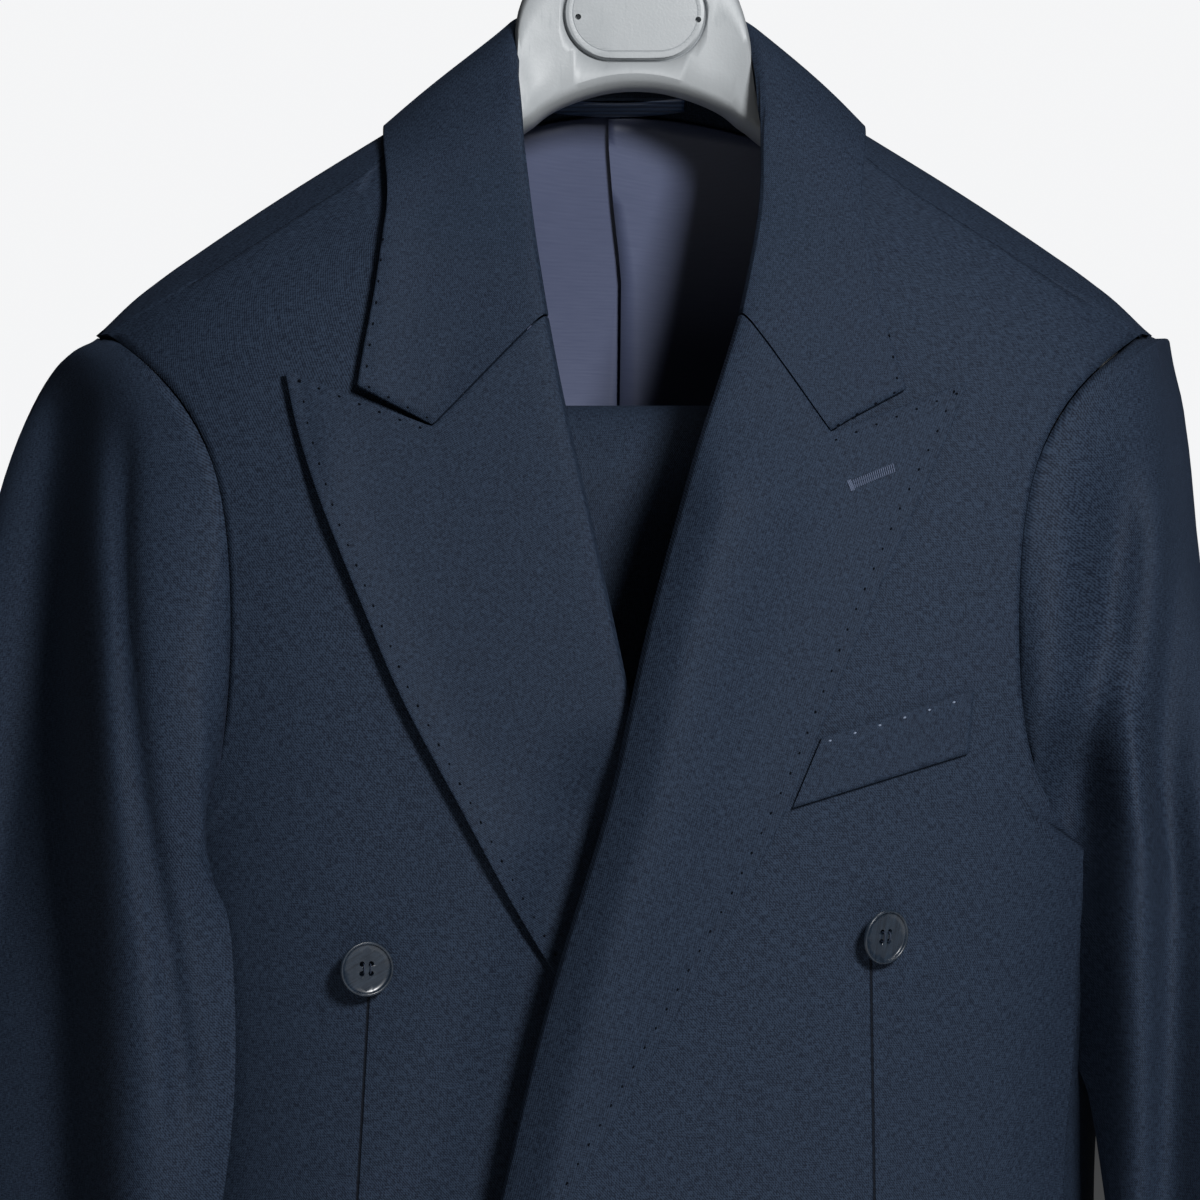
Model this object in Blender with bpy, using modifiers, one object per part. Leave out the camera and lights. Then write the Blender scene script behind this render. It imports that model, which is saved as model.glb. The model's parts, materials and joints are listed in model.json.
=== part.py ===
"""A double-breasted suit on a hanger: the jacket hangs on the arms, the trousers lie over the bar inside it.

Sizes are in millimetres and become metres when a mesh is made. The pattern's own zero is the height of
the shoulder points, on the line between them; the part's origin is the seat of the hanger's hook.
+X is the wearer's left, the front faces -Y and +Z is up.

The jacket's body is one smooth form. A place on it is an angle round the body, 0 at the front centre,
90 on the shoulder ridge or the side and 180 at the back centre, and a height. Every panel is a grid of
such places, and each wall is the form's own surface and the same surface moved in by the cloth.
"""

import math
from typing import NamedTuple

import bmesh
import bpy
import numpy as np
from mathutils import Vector

MM = 0.001
HOOK_SEAT = np.array([4.5, 0.0, 245.0])

CLOTH = 2.0  # wall of the wool and its canvas
LAPEL_CLOTH = 2.4  # wall of a lapel or a collar, which is two cloths
LINING = 1.2
SEAM_INSET = 0.2  # how far each edge stands back from its seam
LAYER_GAP = 1.0  # air between one cloth and the next

LEFT, RIGHT = 1, -1  # the wearer's sides; the left front lies on top
SIDE_NAMES = {LEFT: "left", RIGHT: "right"}


# ---- The body form -------------------------------------------------------------------------------


class BodyRing(NamedTuple):
    """One level of the body form: its half width and how far it reaches to the front and the back."""

    z: float
    half_width: float
    front: float
    back: float


# Above 0 the half width is the shoulder ridge. From 0 to the armpit it runs on as the shoulder would,
# past the armhole, where no panel reaches it.
BODY_RINGS = (
    BodyRing(104, 66, 30, 48),
    BodyRing(98, 80, 35, 52),
    BodyRing(86, 100, 42, 56),
    BodyRing(61.5, 140, 53, 62),
    BodyRing(35, 180, 66, 71),
    BodyRing(15.5, 207, 73, 76),
    BodyRing(0, 222, 78, 80),
    BodyRing(-25, 235, 86, 83),
    BodyRing(-60, 240, 94, 86),
    BodyRing(-100, 238, 100, 88),
    BodyRing(-160, 228, 105, 91),
    BodyRing(-218, 214, 107, 92),
    BodyRing(-290, 203, 103, 86),
    BodyRing(-360, 198, 100, 82),
    BodyRing(-430, 201, 100, 84),
    BodyRing(-520, 212, 103, 90),
    BodyRing(-655, 222, 105, 95),
)
FRONT_FLATNESS = 0.25  # how much flatter than an ellipse the chest and the back are
NECK_Z = 104.0
HEM_Z = -655.0
SEAM_ANGLE = 80.0  # the angle at which the shoulder seam meets the neck


def smooth_line(knots, values):
    """A function that passes smoothly through the values at the knots and runs on straight past its ends."""
    order = np.argsort(knots)
    x = np.asarray(knots, float)[order]
    y = np.asarray(values, float)[order]
    step = np.diff(x)
    secant = np.diff(y) / step
    inside = (secant[:-1] * step[1:] + secant[1:] * step[:-1]) / (step[:-1] + step[1:])
    inside = np.where(secant[:-1] * secant[1:] <= 0, 0.0, inside)
    slope = np.concatenate([secant[:1], inside, secant[-1:]])

    def at(v):
        v = np.asarray(v, float)
        i = np.clip(np.searchsorted(x, v) - 1, 0, len(step) - 1)
        h = step[i]
        t = np.clip((v - x[i]) / h, 0.0, 1.0)
        past = v - x[i] - t * h
        curve = (
            (2 * t**3 - 3 * t**2 + 1) * y[i]
            + (t**3 - 2 * t**2 + t) * h * slope[i]
            + (3 * t**2 - 2 * t**3) * y[i + 1]
            + (t**3 - t**2) * h * slope[i + 1]
        )
        return curve + past * np.where(past < 0, slope[i], slope[i + 1])

    return at


def column(table, name):
    """One named column of a table."""
    return [getattr(row, name) for row in table]


BODY_Z = column(BODY_RINGS, "z")
half_width = smooth_line(BODY_Z, column(BODY_RINGS, "half_width"))
front_depth = smooth_line(BODY_Z, column(BODY_RINGS, "front"))
back_depth = smooth_line(BODY_Z, column(BODY_RINGS, "back"))


def body_surface(angle, z):
    """Places on the bare body form, for angles in degrees and heights."""
    turn = np.radians(angle)
    across, along = np.sin(turn), np.cos(turn)
    depth = np.where(along > 0, front_depth(z), back_depth(z))
    y = -depth * along * (1 + FRONT_FLATNESS * across**2)
    return np.stack(np.broadcast_arrays(half_width(z) * across, y, z), axis=-1).astype(float)


def unit(vectors):
    """Vectors made one long."""
    return vectors / np.linalg.norm(vectors, axis=-1, keepdims=True)


def body_normal(angle, z):
    """The way out of the body form."""
    angle, z = np.broadcast_arrays(np.asarray(angle, float), np.asarray(z, float))
    round_it = body_surface(angle + 0.5, z) - body_surface(angle - 0.5, z)
    up_it = body_surface(angle, z + 0.5) - body_surface(angle, z - 0.5)
    return unit(np.cross(round_it, up_it))


def body_point(angle, z, out=0.0):
    """Places a given way out of the body form."""
    return body_surface(angle, z) + np.asarray(out)[..., None] * body_normal(angle, z)


def angle_of(x, z, behind=False):
    """The angle of the place at this x and height, on the front or the back."""
    angle = np.degrees(np.arcsin(np.clip(np.asarray(x) / half_width(z), -1, 1)))
    return 180 - angle if behind else angle


def ease(t):
    """0 to 1 with level ends."""
    t = np.clip(t, 0.0, 1.0)
    return t * t * (3 - 2 * t)


def clear_of_body(points, gap):
    """The points, with those nearer the body than the gap pushed level out from its upright axis."""
    shape = points.shape
    cleared = points.reshape(-1, 3).copy()
    angles = np.linspace(0, 180, 91)
    for point in cleared:
        ring = body_surface(angles, np.full(91, min(point[2], NECK_Z)))
        bearing = math.atan2(abs(point[0]), -point[1])
        limit = np.interp(bearing, np.arctan2(ring[:, 0], -ring[:, 1]), np.hypot(ring[:, 0], ring[:, 1]))
        reach = math.hypot(point[0], point[1])
        if point[2] < NECK_Z + 1 and reach < limit + 3 * gap:
            angle = np.interp(bearing, np.arctan2(ring[:, 0], -ring[:, 1]), angles)
            lean = body_normal(angle, min(point[2], NECK_Z))
            limit += gap / math.hypot(lean[0], lean[1])
            point[:2] *= max(1.0, limit / reach)
    return cleared.reshape(shape)


# ---- Making meshes -------------------------------------------------------------------------------


def clear_scene():
    """Remove every object."""
    for obj in list(bpy.data.objects):
        bpy.data.objects.remove(obj)


def make_material(name, colour, roughness, metallic=0.0):
    """A plain Principled material."""
    material = bpy.data.materials.new(name)
    material.use_nodes = True
    shader = material.node_tree.nodes["Principled BSDF"]
    shader.inputs["Base Color"].default_value = (*colour, 1)
    shader.inputs["Roughness"].default_value = roughness
    shader.inputs["Metallic"].default_value = metallic
    material.diffuse_color = (*colour, 1)
    return material


class Workshop:
    """The collection that the parts go in and the finishes that they take."""

    def __init__(self):
        self.parts = bpy.data.collections.new("two_piece_suit")
        bpy.context.scene.collection.children.link(self.parts)
        self.finishes = {
            "wool": ((0.012, 0.018, 0.036), 0.82),
            "lining": ((0.055, 0.063, 0.125), 0.45),
            "loop": ((0.020, 0.045, 0.110), 0.55),
            "hanger": ((0.42, 0.44, 0.46), 0.38),
            "plate": ((0.36, 0.38, 0.40), 0.34),
            "steel": ((0.62, 0.63, 0.65), 0.25, 1.0),
            "flock": ((0.10, 0.10, 0.11), 0.9),
            "horn": ((0.030, 0.042, 0.060), 0.3),
        }

    def add(self, name, mesh, finish):
        """A part from a mesh, with its own material."""
        mesh.materials.clear()
        mesh.materials.append(make_material(name, *self.finishes[finish]))
        part = bpy.data.objects.new(name, mesh)
        self.parts.objects.link(part)
        return part


def to_part_frame(points):
    """Pattern millimetres as metres from the hook's seat."""
    return (points - HOOK_SEAT) * MM


def mesh_from(name, points, faces):
    """A mesh whose faces point out, from points in millimetres."""
    mesh = bpy.data.meshes.new(name)
    mesh.from_pydata(to_part_frame(points).tolist(), [], faces)
    model = bmesh.new()
    model.from_mesh(mesh)
    bmesh.ops.recalc_face_normals(model, faces=model.faces)
    if model.calc_volume(signed=True) < 0:
        bmesh.ops.reverse_faces(model, faces=model.faces)
    model.to_mesh(mesh)
    model.free()
    mesh.shade_smooth()
    mesh.set_sharp_from_angle(angle=math.radians(40))
    return mesh


def grid_faces(rows, columns, first, row_step, column_step):
    """The quads of a grid whose points are numbered in rows."""
    faces = []
    for i in range(rows - 1):
        for j in range(columns - 1):
            a = first + i * row_step + j * column_step
            faces.append((a, a + column_step, a + row_step + column_step, a + row_step))
    return faces


def wall_mesh(name, outer, inner, groove=0.0):
    """A closed wall between two grids. A groove draws the middle of its rim in, as between two layers."""
    rows, columns = outer.shape[:2]
    count = rows * columns
    points = np.concatenate([outer.reshape(-1, 3), inner.reshape(-1, 3)])
    faces = grid_faces(rows, columns, 0, columns, 1)
    faces += [tuple(count + k for k in reversed(face)) for face in faces]
    rim = [(0, j) for j in range(columns)]
    rim += [(i, columns - 1) for i in range(1, rows)]
    rim += [(rows - 1, j) for j in range(columns - 2, -1, -1)]
    rim += [(i, 0) for i in range(rows - 2, 0, -1)]
    ids = [i * columns + j for i, j in rim]
    if not groove:
        for here, there in zip(ids, ids[1:] + ids[:1]):
            faces.append((there, here, here + count, there + count))
        return mesh_from(name, points, faces)
    middle = 0.5 * (outer + inner)
    drawn = []
    for i, j in rim:
        inward = middle[min(max(i, 1), rows - 2), min(max(j, 1), columns - 2)] - middle[i, j]
        drawn.append(middle[i, j] + groove * unit(inward))
    points = np.concatenate([points, drawn])
    for k, here in enumerate(ids):
        there, mid = ids[(k + 1) % len(ids)], 2 * count + k
        mid_there = 2 * count + (k + 1) % len(ids)
        faces.append((there, here, mid, mid_there))
        faces.append((mid_there, mid, here + count, there + count))
    return mesh_from(name, points, faces)


def inset_edges(grid, gap=SEAM_INSET):
    """The grid with each outer row and column moved in along the lines that cross it."""
    moved = grid.copy()
    moved[0] += gap * unit(grid[1] - grid[0])
    moved[-1] += gap * unit(grid[-2] - grid[-1])
    moved[:, 0] += gap * unit(grid[:, 1] - grid[:, 0])
    moved[:, -1] += gap * unit(grid[:, -2] - grid[:, -1])
    return moved


def grid_normals(grid):
    """The normals of a grid, from its neighbouring points."""
    return unit(np.cross(np.gradient(grid, axis=1), np.gradient(grid, axis=0)))


def mirrored(grid, side):
    """A grid made for the wearer's left, on the side that is wanted."""
    return grid * np.array([side, 1, 1])


# ---- Lapel and neck lines ------------------------------------------------------------------------


class LapelRow(NamedTuple):
    """The roll line and the outer edge of both lapels at one level, x measured to the lapel's own side."""

    z: float
    left_roll: float
    left_edge: float
    right_roll: float
    right_edge: float


LAPEL_ROWS = (
    LapelRow(4, 47, 152, 32, 146),
    LapelRow(-21, 39.5, 139, 27.5, 136),
    LapelRow(-46, 30.5, 129, 22, 131),
    LapelRow(-75, 22.5, 115.5, 15, 120.5),
    LapelRow(-120, 10, 94.5, 5.5, 102),
    LapelRow(-146, 4.2, 83.5, -0.4, 91.5),
    LapelRow(-191, -5.2, 65, -9, 67),
    LapelRow(-240, -20.7, 39.5, -23, 41),
    LapelRow(-302, -37.8, 4.5, -39, 4),
    LapelRow(-350, -48.2, -23, -49.5, -23),
    LapelRow(-412, -65, -50, -65, -50),
)
BREAK_Z = -406.0  # where the lapels run out into the front edges
FRONT_EDGE_LAP = 66.0  # how far each front edge passes the centre at the break
FRONT_EDGE_HEM_LAP = 70.0
ROLL_TO_FRONT = 5.5  # from the roll line out to the edge of the front panel under it


class NeckRow(NamedTuple):
    """One station of the collar, from its front end round to the back centre.

    The fold is the collar's top line, the seam is the neck edge of the panels that its stand meets, the
    edge is the outer line of its fall. x is measured to the collar's own side; an edge lies on the body
    form at an angle and a height.
    """

    fold_left: float
    fold_right: float
    fold_y: float
    fold_z: float
    fold_radius: float
    seam_left: float
    seam_right: float
    seam_z: float
    edge_angle: float
    edge_z: float


NECK_ROWS = (
    NeckRow(47.0, 32.0, -78.5, 4.5, 4.6, 56.0, 41.0, 5, 27.9, -25.5),
    NeckRow(53.5, 37.0, -67, 35, 4.2, 64.0, 48.0, 34, 28.4, 8),
    NeckRow(57.0, 40.5, -53, 62, 3.6, 68.0, 56.0, 62, 34.4, 40),
    NeckRow(57.0, 43.5, -35, 94, 3.2, 67.0, 63.0, 85, 47.0, 66),
    NeckRow(54.5, 45.5, -12, 122, 3.0, 65.0, 65.0, 103.5, 80.0, 86),
    NeckRow(47.5, 44.5, 12, 135, 3.0, 65.5, 65.5, 104, 122.0, 85),
    NeckRow(32.0, 31.0, 35, 140, 3.0, 42.5, 42.5, 104, 152.0, 89),
    NeckRow(0.0, 0.0, 44, 141, 3.0, 0.0, 0.0, 104, 180.0, 95),
)
NOTCH_X = {LEFT: 82.0, RIGHT: 77.5}
NOTCH_Z = {LEFT: -44.5, RIGHT: -41.0}
PEAK_Z = {LEFT: -23.0, RIGHT: -18.5}

LAPEL_Z = column(LAPEL_ROWS, "z")
ROLL_LINE = {
    side: smooth_line(LAPEL_Z, column(LAPEL_ROWS, f"{SIDE_NAMES[side]}_roll"))
    for side in SIDE_NAMES
}
LAPEL_EDGE = {
    side: smooth_line(LAPEL_Z, column(LAPEL_ROWS, f"{SIDE_NAMES[side]}_edge"))
    for side in SIDE_NAMES
}
NECK_SEAM = {
    side: smooth_line(column(NECK_ROWS[:5], "seam_z"), column(NECK_ROWS[:5], f"seam_{SIDE_NAMES[side]}"))
    for side in SIDE_NAMES
}

LAP_OUT = {LEFT: 5.6, RIGHT: -4.6}  # where the fronts lap, the left stands out and the right lies in


def lap_offset(side, x, z):
    """How far a front stands off the body form, x measured to its own side."""
    return LAP_OUT[side] * ease((135 - x) / 75) * ease((40 - z) / 160)


def front_inner_x(side, z):
    """The inner edge of a front panel: the neck seam, then the roll line, then the front edge."""
    if z >= 0:
        return float(NECK_SEAM[side](z))
    if z > BREAK_Z:
        return float(ROLL_LINE[side](z)) + ROLL_TO_FRONT
    down = (BREAK_Z - z) / (BREAK_Z - HEM_Z)
    return -FRONT_EDGE_LAP - down * (FRONT_EDGE_HEM_LAP - FRONT_EDGE_LAP)


# ---- Armhole and side seams ----------------------------------------------------------------------


class ArmholePoint(NamedTuple):
    """A point of the armhole seam, on the front or on the back."""

    x: float
    z: float


ARMHOLE_FRONT = (
    ArmholePoint(190, -17),
    ArmholePoint(171, -42),
    ArmholePoint(162, -68),
    ArmholePoint(159.5, -100),
    ArmholePoint(159.5, -150),
    ArmholePoint(165, -182),
    ArmholePoint(179, -205),
)
ARMHOLE_BACK = (
    ArmholePoint(184, -203),
    ArmholePoint(176, -165),
    ArmholePoint(174, -105),
    ArmholePoint(179, -55),
    ArmholePoint(197, -22),
    ArmholePoint(214, -5),
)
SHOULDER_SEAM = (  # in front of the ridge
    ArmholePoint(103, 69),
    ArmholePoint(144, 41.7),
    ArmholePoint(177, 20.7),
    ArmholePoint(195, 10),
    ArmholePoint(215, 0),
)
SIDE_FRONT_TOP = (66.0, -218.0)  # angle and height where the front side seam meets the armhole
SIDE_BACK_TOP = (113.0, -218.0)
SIDE_MID_TOP = (90.0, -225.0)
SIDE_FRONT_HEM_ANGLE = 62.0
SIDE_BACK_HEM_ANGLE = 111.0

SHOULDER_STEPS = 9
ARMHOLE_FRONT_STEPS = 9
ARMHOLE_SIDE_STEPS = 4
ARMHOLE_BACK_STEPS = 8
LOWER_LEVELS = (-250, -290, -330, -370, -420, -480, -540, -600, HEM_Z)
FRONT_EDGE_LEVELS = (-250, -295, -345, -403.5, -407.5, -475, -540, -600, HEM_Z)


def shoulder_seam():
    """The shoulder seam as angle and height places, from the neck to the armhole."""
    levels = np.linspace(NECK_Z, 0, SHOULDER_STEPS + 1)
    knots = [NECK_Z, *column(SHOULDER_SEAM, "z")]
    angles = [SEAM_ANGLE, *(float(angle_of(point.x, point.z)) for point in SHOULDER_SEAM)]
    return np.stack([smooth_line(knots, angles)(levels), levels], axis=-1)


def even_path(points, steps):
    """Places evenly spaced along a smooth line through angle and height pairs, measured on the body."""
    points = np.asarray(points, float)
    along = np.linalg.norm(np.diff(body_surface(points[:, 0], points[:, 1]), axis=0), axis=1)
    along = np.concatenate([[0.0], np.cumsum(along)])
    even = np.linspace(0.0, along[-1], steps + 1)
    return np.stack([smooth_line(along, points[:, k])(even) for k in (0, 1)], axis=-1)


def armhole_stretches():
    """The armhole's front, underarm and back, each as evenly spaced places from the shoulder round."""
    shoulder = tuple(shoulder_seam()[-1])
    front = [(float(angle_of(p.x, p.z)), p.z) for p in ARMHOLE_FRONT]
    back = [(float(angle_of(p.x, p.z, behind=True)), p.z) for p in ARMHOLE_BACK]
    ridge = (97.0, -1.0)
    return (
        even_path([shoulder, *front, SIDE_FRONT_TOP], ARMHOLE_FRONT_STEPS),
        even_path([SIDE_FRONT_TOP, SIDE_MID_TOP, SIDE_BACK_TOP], ARMHOLE_SIDE_STEPS),
        even_path([SIDE_BACK_TOP, *back, ridge, shoulder], ARMHOLE_BACK_STEPS),
    )


def seam_angles(top, hem_angle):
    """The angles of a side seam at the lower levels."""
    down = (top[1] - np.array(LOWER_LEVELS)) / (top[1] - HEM_Z)
    return top[0] + (hem_angle - top[0]) * down


# ---- Jacket body panels --------------------------------------------------------------------------

FRONT_COLUMNS = SHOULDER_STEPS
BACK_COLUMNS = 9
BACK_CROWDING = 0.8  # draws the columns towards the shoulder, which is sharply rounded
FRONT_NECK_LEVELS = (92, 76, 57, 34, 3, -40, -90, -145, -205)


def panel_walls(angles, levels, out):
    """The outer and inner grids of a cloth panel at these places of the body form."""
    outer = body_point(angles, levels, out)
    inner = body_point(angles, levels, out - CLOTH)
    return inset_edges(outer), inset_edges(inner)


def front_places(side):
    """The grid of a front: its top row is the shoulder seam, its last the hem."""
    armhole, _, _ = armhole_stretches()
    side_seam = np.stack([seam_angles(SIDE_FRONT_TOP, SIDE_FRONT_HEM_ANGLE), LOWER_LEVELS], axis=-1)
    outer = np.concatenate([armhole, side_seam])
    inner_levels = [NECK_Z, *FRONT_NECK_LEVELS, *FRONT_EDGE_LEVELS]
    inner = [(SEAM_ANGLE, NECK_Z)]
    inner += [(float(angle_of(front_inner_x(side, z), z)), z) for z in inner_levels[1:]]
    inner = np.array(inner)
    share = np.linspace(0, 1, FRONT_COLUMNS + 1)[None, :, None]
    places = inner[:, None] * (1 - share) + outer[:, None] * share
    places[0] = shoulder_seam()
    return places[..., 0], places[..., 1]


def build_front(shop, side):
    """A front panel, from the neck, roll line and front edge out to the shoulder, armhole and side."""
    angles, levels = front_places(side)
    own_x = body_surface(angles, levels)[..., 0]
    outer, inner = panel_walls(angles, levels, lap_offset(side, own_x, levels))
    mesh = wall_mesh("front", mirrored(outer, side), mirrored(inner, side))
    shop.add(f"front_{SIDE_NAMES[side]}", mesh, "wool")


def build_side(shop, side):
    """The panel under the arm, between the front and back side seams."""
    _, underarm, _ = armhole_stretches()
    share = np.linspace(0, 1, ARMHOLE_SIDE_STEPS + 1)
    front = seam_angles(SIDE_FRONT_TOP, SIDE_FRONT_HEM_ANGLE)[:, None]
    back = seam_angles(SIDE_BACK_TOP, SIDE_BACK_HEM_ANGLE)[:, None]
    angles = np.concatenate([underarm[None, :, 0], front + (back - front) * share])
    levels = np.concatenate([underarm[None, :, 1], np.repeat(np.array(LOWER_LEVELS)[:, None], len(share), 1)])
    outer, inner = panel_walls(angles, levels, np.zeros_like(angles))
    mesh = wall_mesh("side", mirrored(outer, side), mirrored(inner, side))
    shop.add(f"side_{SIDE_NAMES[side]}", mesh, "wool")


def back_places():
    """The grid of a half back: its top row is the neck seam, its first column the centre back seam."""
    _, _, armhole = armhole_stretches()
    shoulder = shoulder_seam()
    lower = np.stack([seam_angles(SIDE_BACK_TOP, SIDE_BACK_HEM_ANGLE), LOWER_LEVELS], axis=-1)
    outer = np.concatenate([shoulder, armhole[::-1][1:], lower])
    beside_armhole = np.linspace(0, SIDE_BACK_TOP[1], len(armhole))[1:]
    centre_levels = np.concatenate([shoulder[:, 1], beside_armhole, LOWER_LEVELS])
    centre = np.stack([np.full(len(centre_levels), 180.0), centre_levels], axis=-1)
    share = (np.linspace(0, 1, BACK_COLUMNS + 1) ** BACK_CROWDING)[None, :, None]
    places = centre[:, None] * (1 - share) + outer[:, None] * share
    return places[..., 0], places[..., 1]


def build_back(shop, side):
    """A half back, from the centre seam to the shoulder, armhole and side."""
    angles, levels = back_places()
    outer, inner = panel_walls(angles, levels, np.zeros_like(angles))
    mesh = wall_mesh("back", mirrored(outer, side), mirrored(inner, side))
    shop.add(f"back_{SIDE_NAMES[side]}", mesh, "wool")


# ---- Sleeves -------------------------------------------------------------------------------------


class SleeveRing(NamedTuple):
    """One level of a sleeve: its front, outer, back and inner places, x to the sleeve's own side."""

    z: float
    front_x: float
    front_y: float
    out_x: float
    out_y: float
    back_x: float
    back_y: float
    in_x: float
    in_y: float


SLEEVE_RINGS = {
    LEFT: (
        SleeveRing(-250, 183, -88, 264, -30, 252, 62, 220, 6),
        SleeveRing(-300, 197, -86, 268, -32, 254, 54, 217, 2),
        SleeveRing(-360, 208, -84, 272, -34, 256, 46, 213, -4),
        SleeveRing(-440, 217, -84, 277, -38, 260, 38, 219, -8),
        SleeveRing(-530, 224, -87, 283, -44, 265, 28, 227, -16),
        SleeveRing(-615, 230, -92, 288, -50, 269, 18, 234, -26),
    ),
    RIGHT: (
        SleeveRing(-250, 168, -94, 285, -32, 258, 60, 220, 4),
        SleeveRing(-300, 167, -94, 287, -36, 258, 52, 217, 0),
        SleeveRing(-360, 173, -92, 288, -40, 258, 44, 213, -6),
        SleeveRing(-440, 188, -90, 288, -44, 260, 36, 218, -12),
        SleeveRing(-530, 206, -90, 287, -48, 264, 26, 227, -18),
        SleeveRing(-615, 224, -94, 287, -52, 267, 16, 234, -28),
    ),
}
CAP_SHARES = (0.17, 0.30, 0.44, 0.58, 0.72, 0.86)  # where the head's rows lie, from the armhole to the arm
CAP_TOP_SHARES = (0.05, 0.13, 0.25, 0.41, 0.60, 0.80)  # the same at the shoulder
CAP_FULLNESS = {LEFT: 24.0, RIGHT: 62.0}  # how far the sleeve head runs out before it turns down
CAP_TOP_REACH = {LEFT: 14.0, RIGHT: 46.0}  # the same at the shoulder, where the head is roped
CAP_TOP_LEAN = {LEFT: 0.92, RIGHT: 0.40}  # how far its side stands in from the arm below it
CAP_TOP_LEVEL = 100.0  # the height over which the shoulder's shape gives way to the armhole's
CAP_TOP_RISE = {LEFT: 0.2, RIGHT: -0.4}  # how steeply it leaves the shoulder
CAP_ROPE = {LEFT: 10.0, RIGHT: 7.0}  # how far the gathered head stands out beside the shoulder seam
SLEEVE_LEVELS = (-250, -285, -320, -360, -410, -470, -540, HEM_Z + 40)
RING_ROUNDNESS = 1.15
SLEEVE_BODY_GAP = 3.0
FRONT_KEY = 0.82  # share of the armhole's front at which the sleeve's front edge starts
BACK_KEY = 0.7
UNDER_SLEEVE = (8, 16)  # stations of the armhole between which the under sleeve lies


class SleeveFold(NamedTuple):
    """A valley down the front of a sleeve, x at its top and bottom to the sleeve's own side."""

    top_x: float
    top_z: float
    bottom_x: float
    bottom_z: float
    depth: float
    half_width: float


SLEEVE_FOLDS = {
    LEFT: SleeveFold(208, -70, 178, -215, 5.0, 14.0),
    RIGHT: SleeveFold(194, -110, 170, -320, 6.0, 14.0),
}


def closed_ring(keys, stations):
    """A smooth closed line through four key places, read at stations counted from 0 to 4."""
    keys = np.asarray(keys, float)
    tangent = unit(np.roll(keys, -1, 0) - np.roll(keys, 1, 0))
    points = []
    for station in stations:
        k = int(station) % 4
        t = station - int(station)
        a, b = keys[k], keys[(k + 1) % 4]
        reach = RING_ROUNDNESS * np.linalg.norm(b - a)
        points.append(
            (2 * t**3 - 3 * t**2 + 1) * a
            + (t**3 - 2 * t**2 + t) * reach * tangent[k]
            + (3 * t**2 - 2 * t**3) * b
            + (t**3 - t**2) * reach * tangent[(k + 1) % 4]
        )
    return np.array(points)


def sleeve_ring(side, z):
    """The sleeve's section at a level, one point for each station of the armhole."""
    rings = SLEEVE_RINGS[side]
    levels = column(rings, "z")
    keys = []
    for place in ("out", "front", "in", "back"):
        keys.append([float(smooth_line(levels, column(rings, f"{place}_{axis}"))(z)) for axis in "xy"])
    half_front = ARMHOLE_FRONT_STEPS * FRONT_KEY
    bottom = ARMHOLE_FRONT_STEPS + ARMHOLE_SIDE_STEPS / 2
    total = ARMHOLE_FRONT_STEPS + ARMHOLE_SIDE_STEPS + ARMHOLE_BACK_STEPS
    half_back = total - ARMHOLE_BACK_STEPS * BACK_KEY
    stations = np.interp(np.arange(total), [0, half_front, bottom, half_back, total], [0, 1, 2, 3, 4])
    flat = closed_ring(keys, stations)
    return np.column_stack([flat, np.full(total, z)])


def press_fold(points, fold):
    """The sleeve's front with its valley pressed in."""
    x, y, z = points[..., 0], points[..., 1], points[..., 2]
    down = np.clip((fold.top_z - z) / (fold.top_z - fold.bottom_z), 0, 1)
    centre = fold.top_x + (fold.bottom_x - fold.top_x) * down
    length = ease((fold.top_z - z) / 40) * ease((z - fold.bottom_z + 60) / 60)
    depth = fold.depth * length * np.exp(-(((x - centre) / fold.half_width) ** 2)) * (y < 0)
    pressed = points.copy()
    pressed[..., 1] += depth
    return pressed


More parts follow.
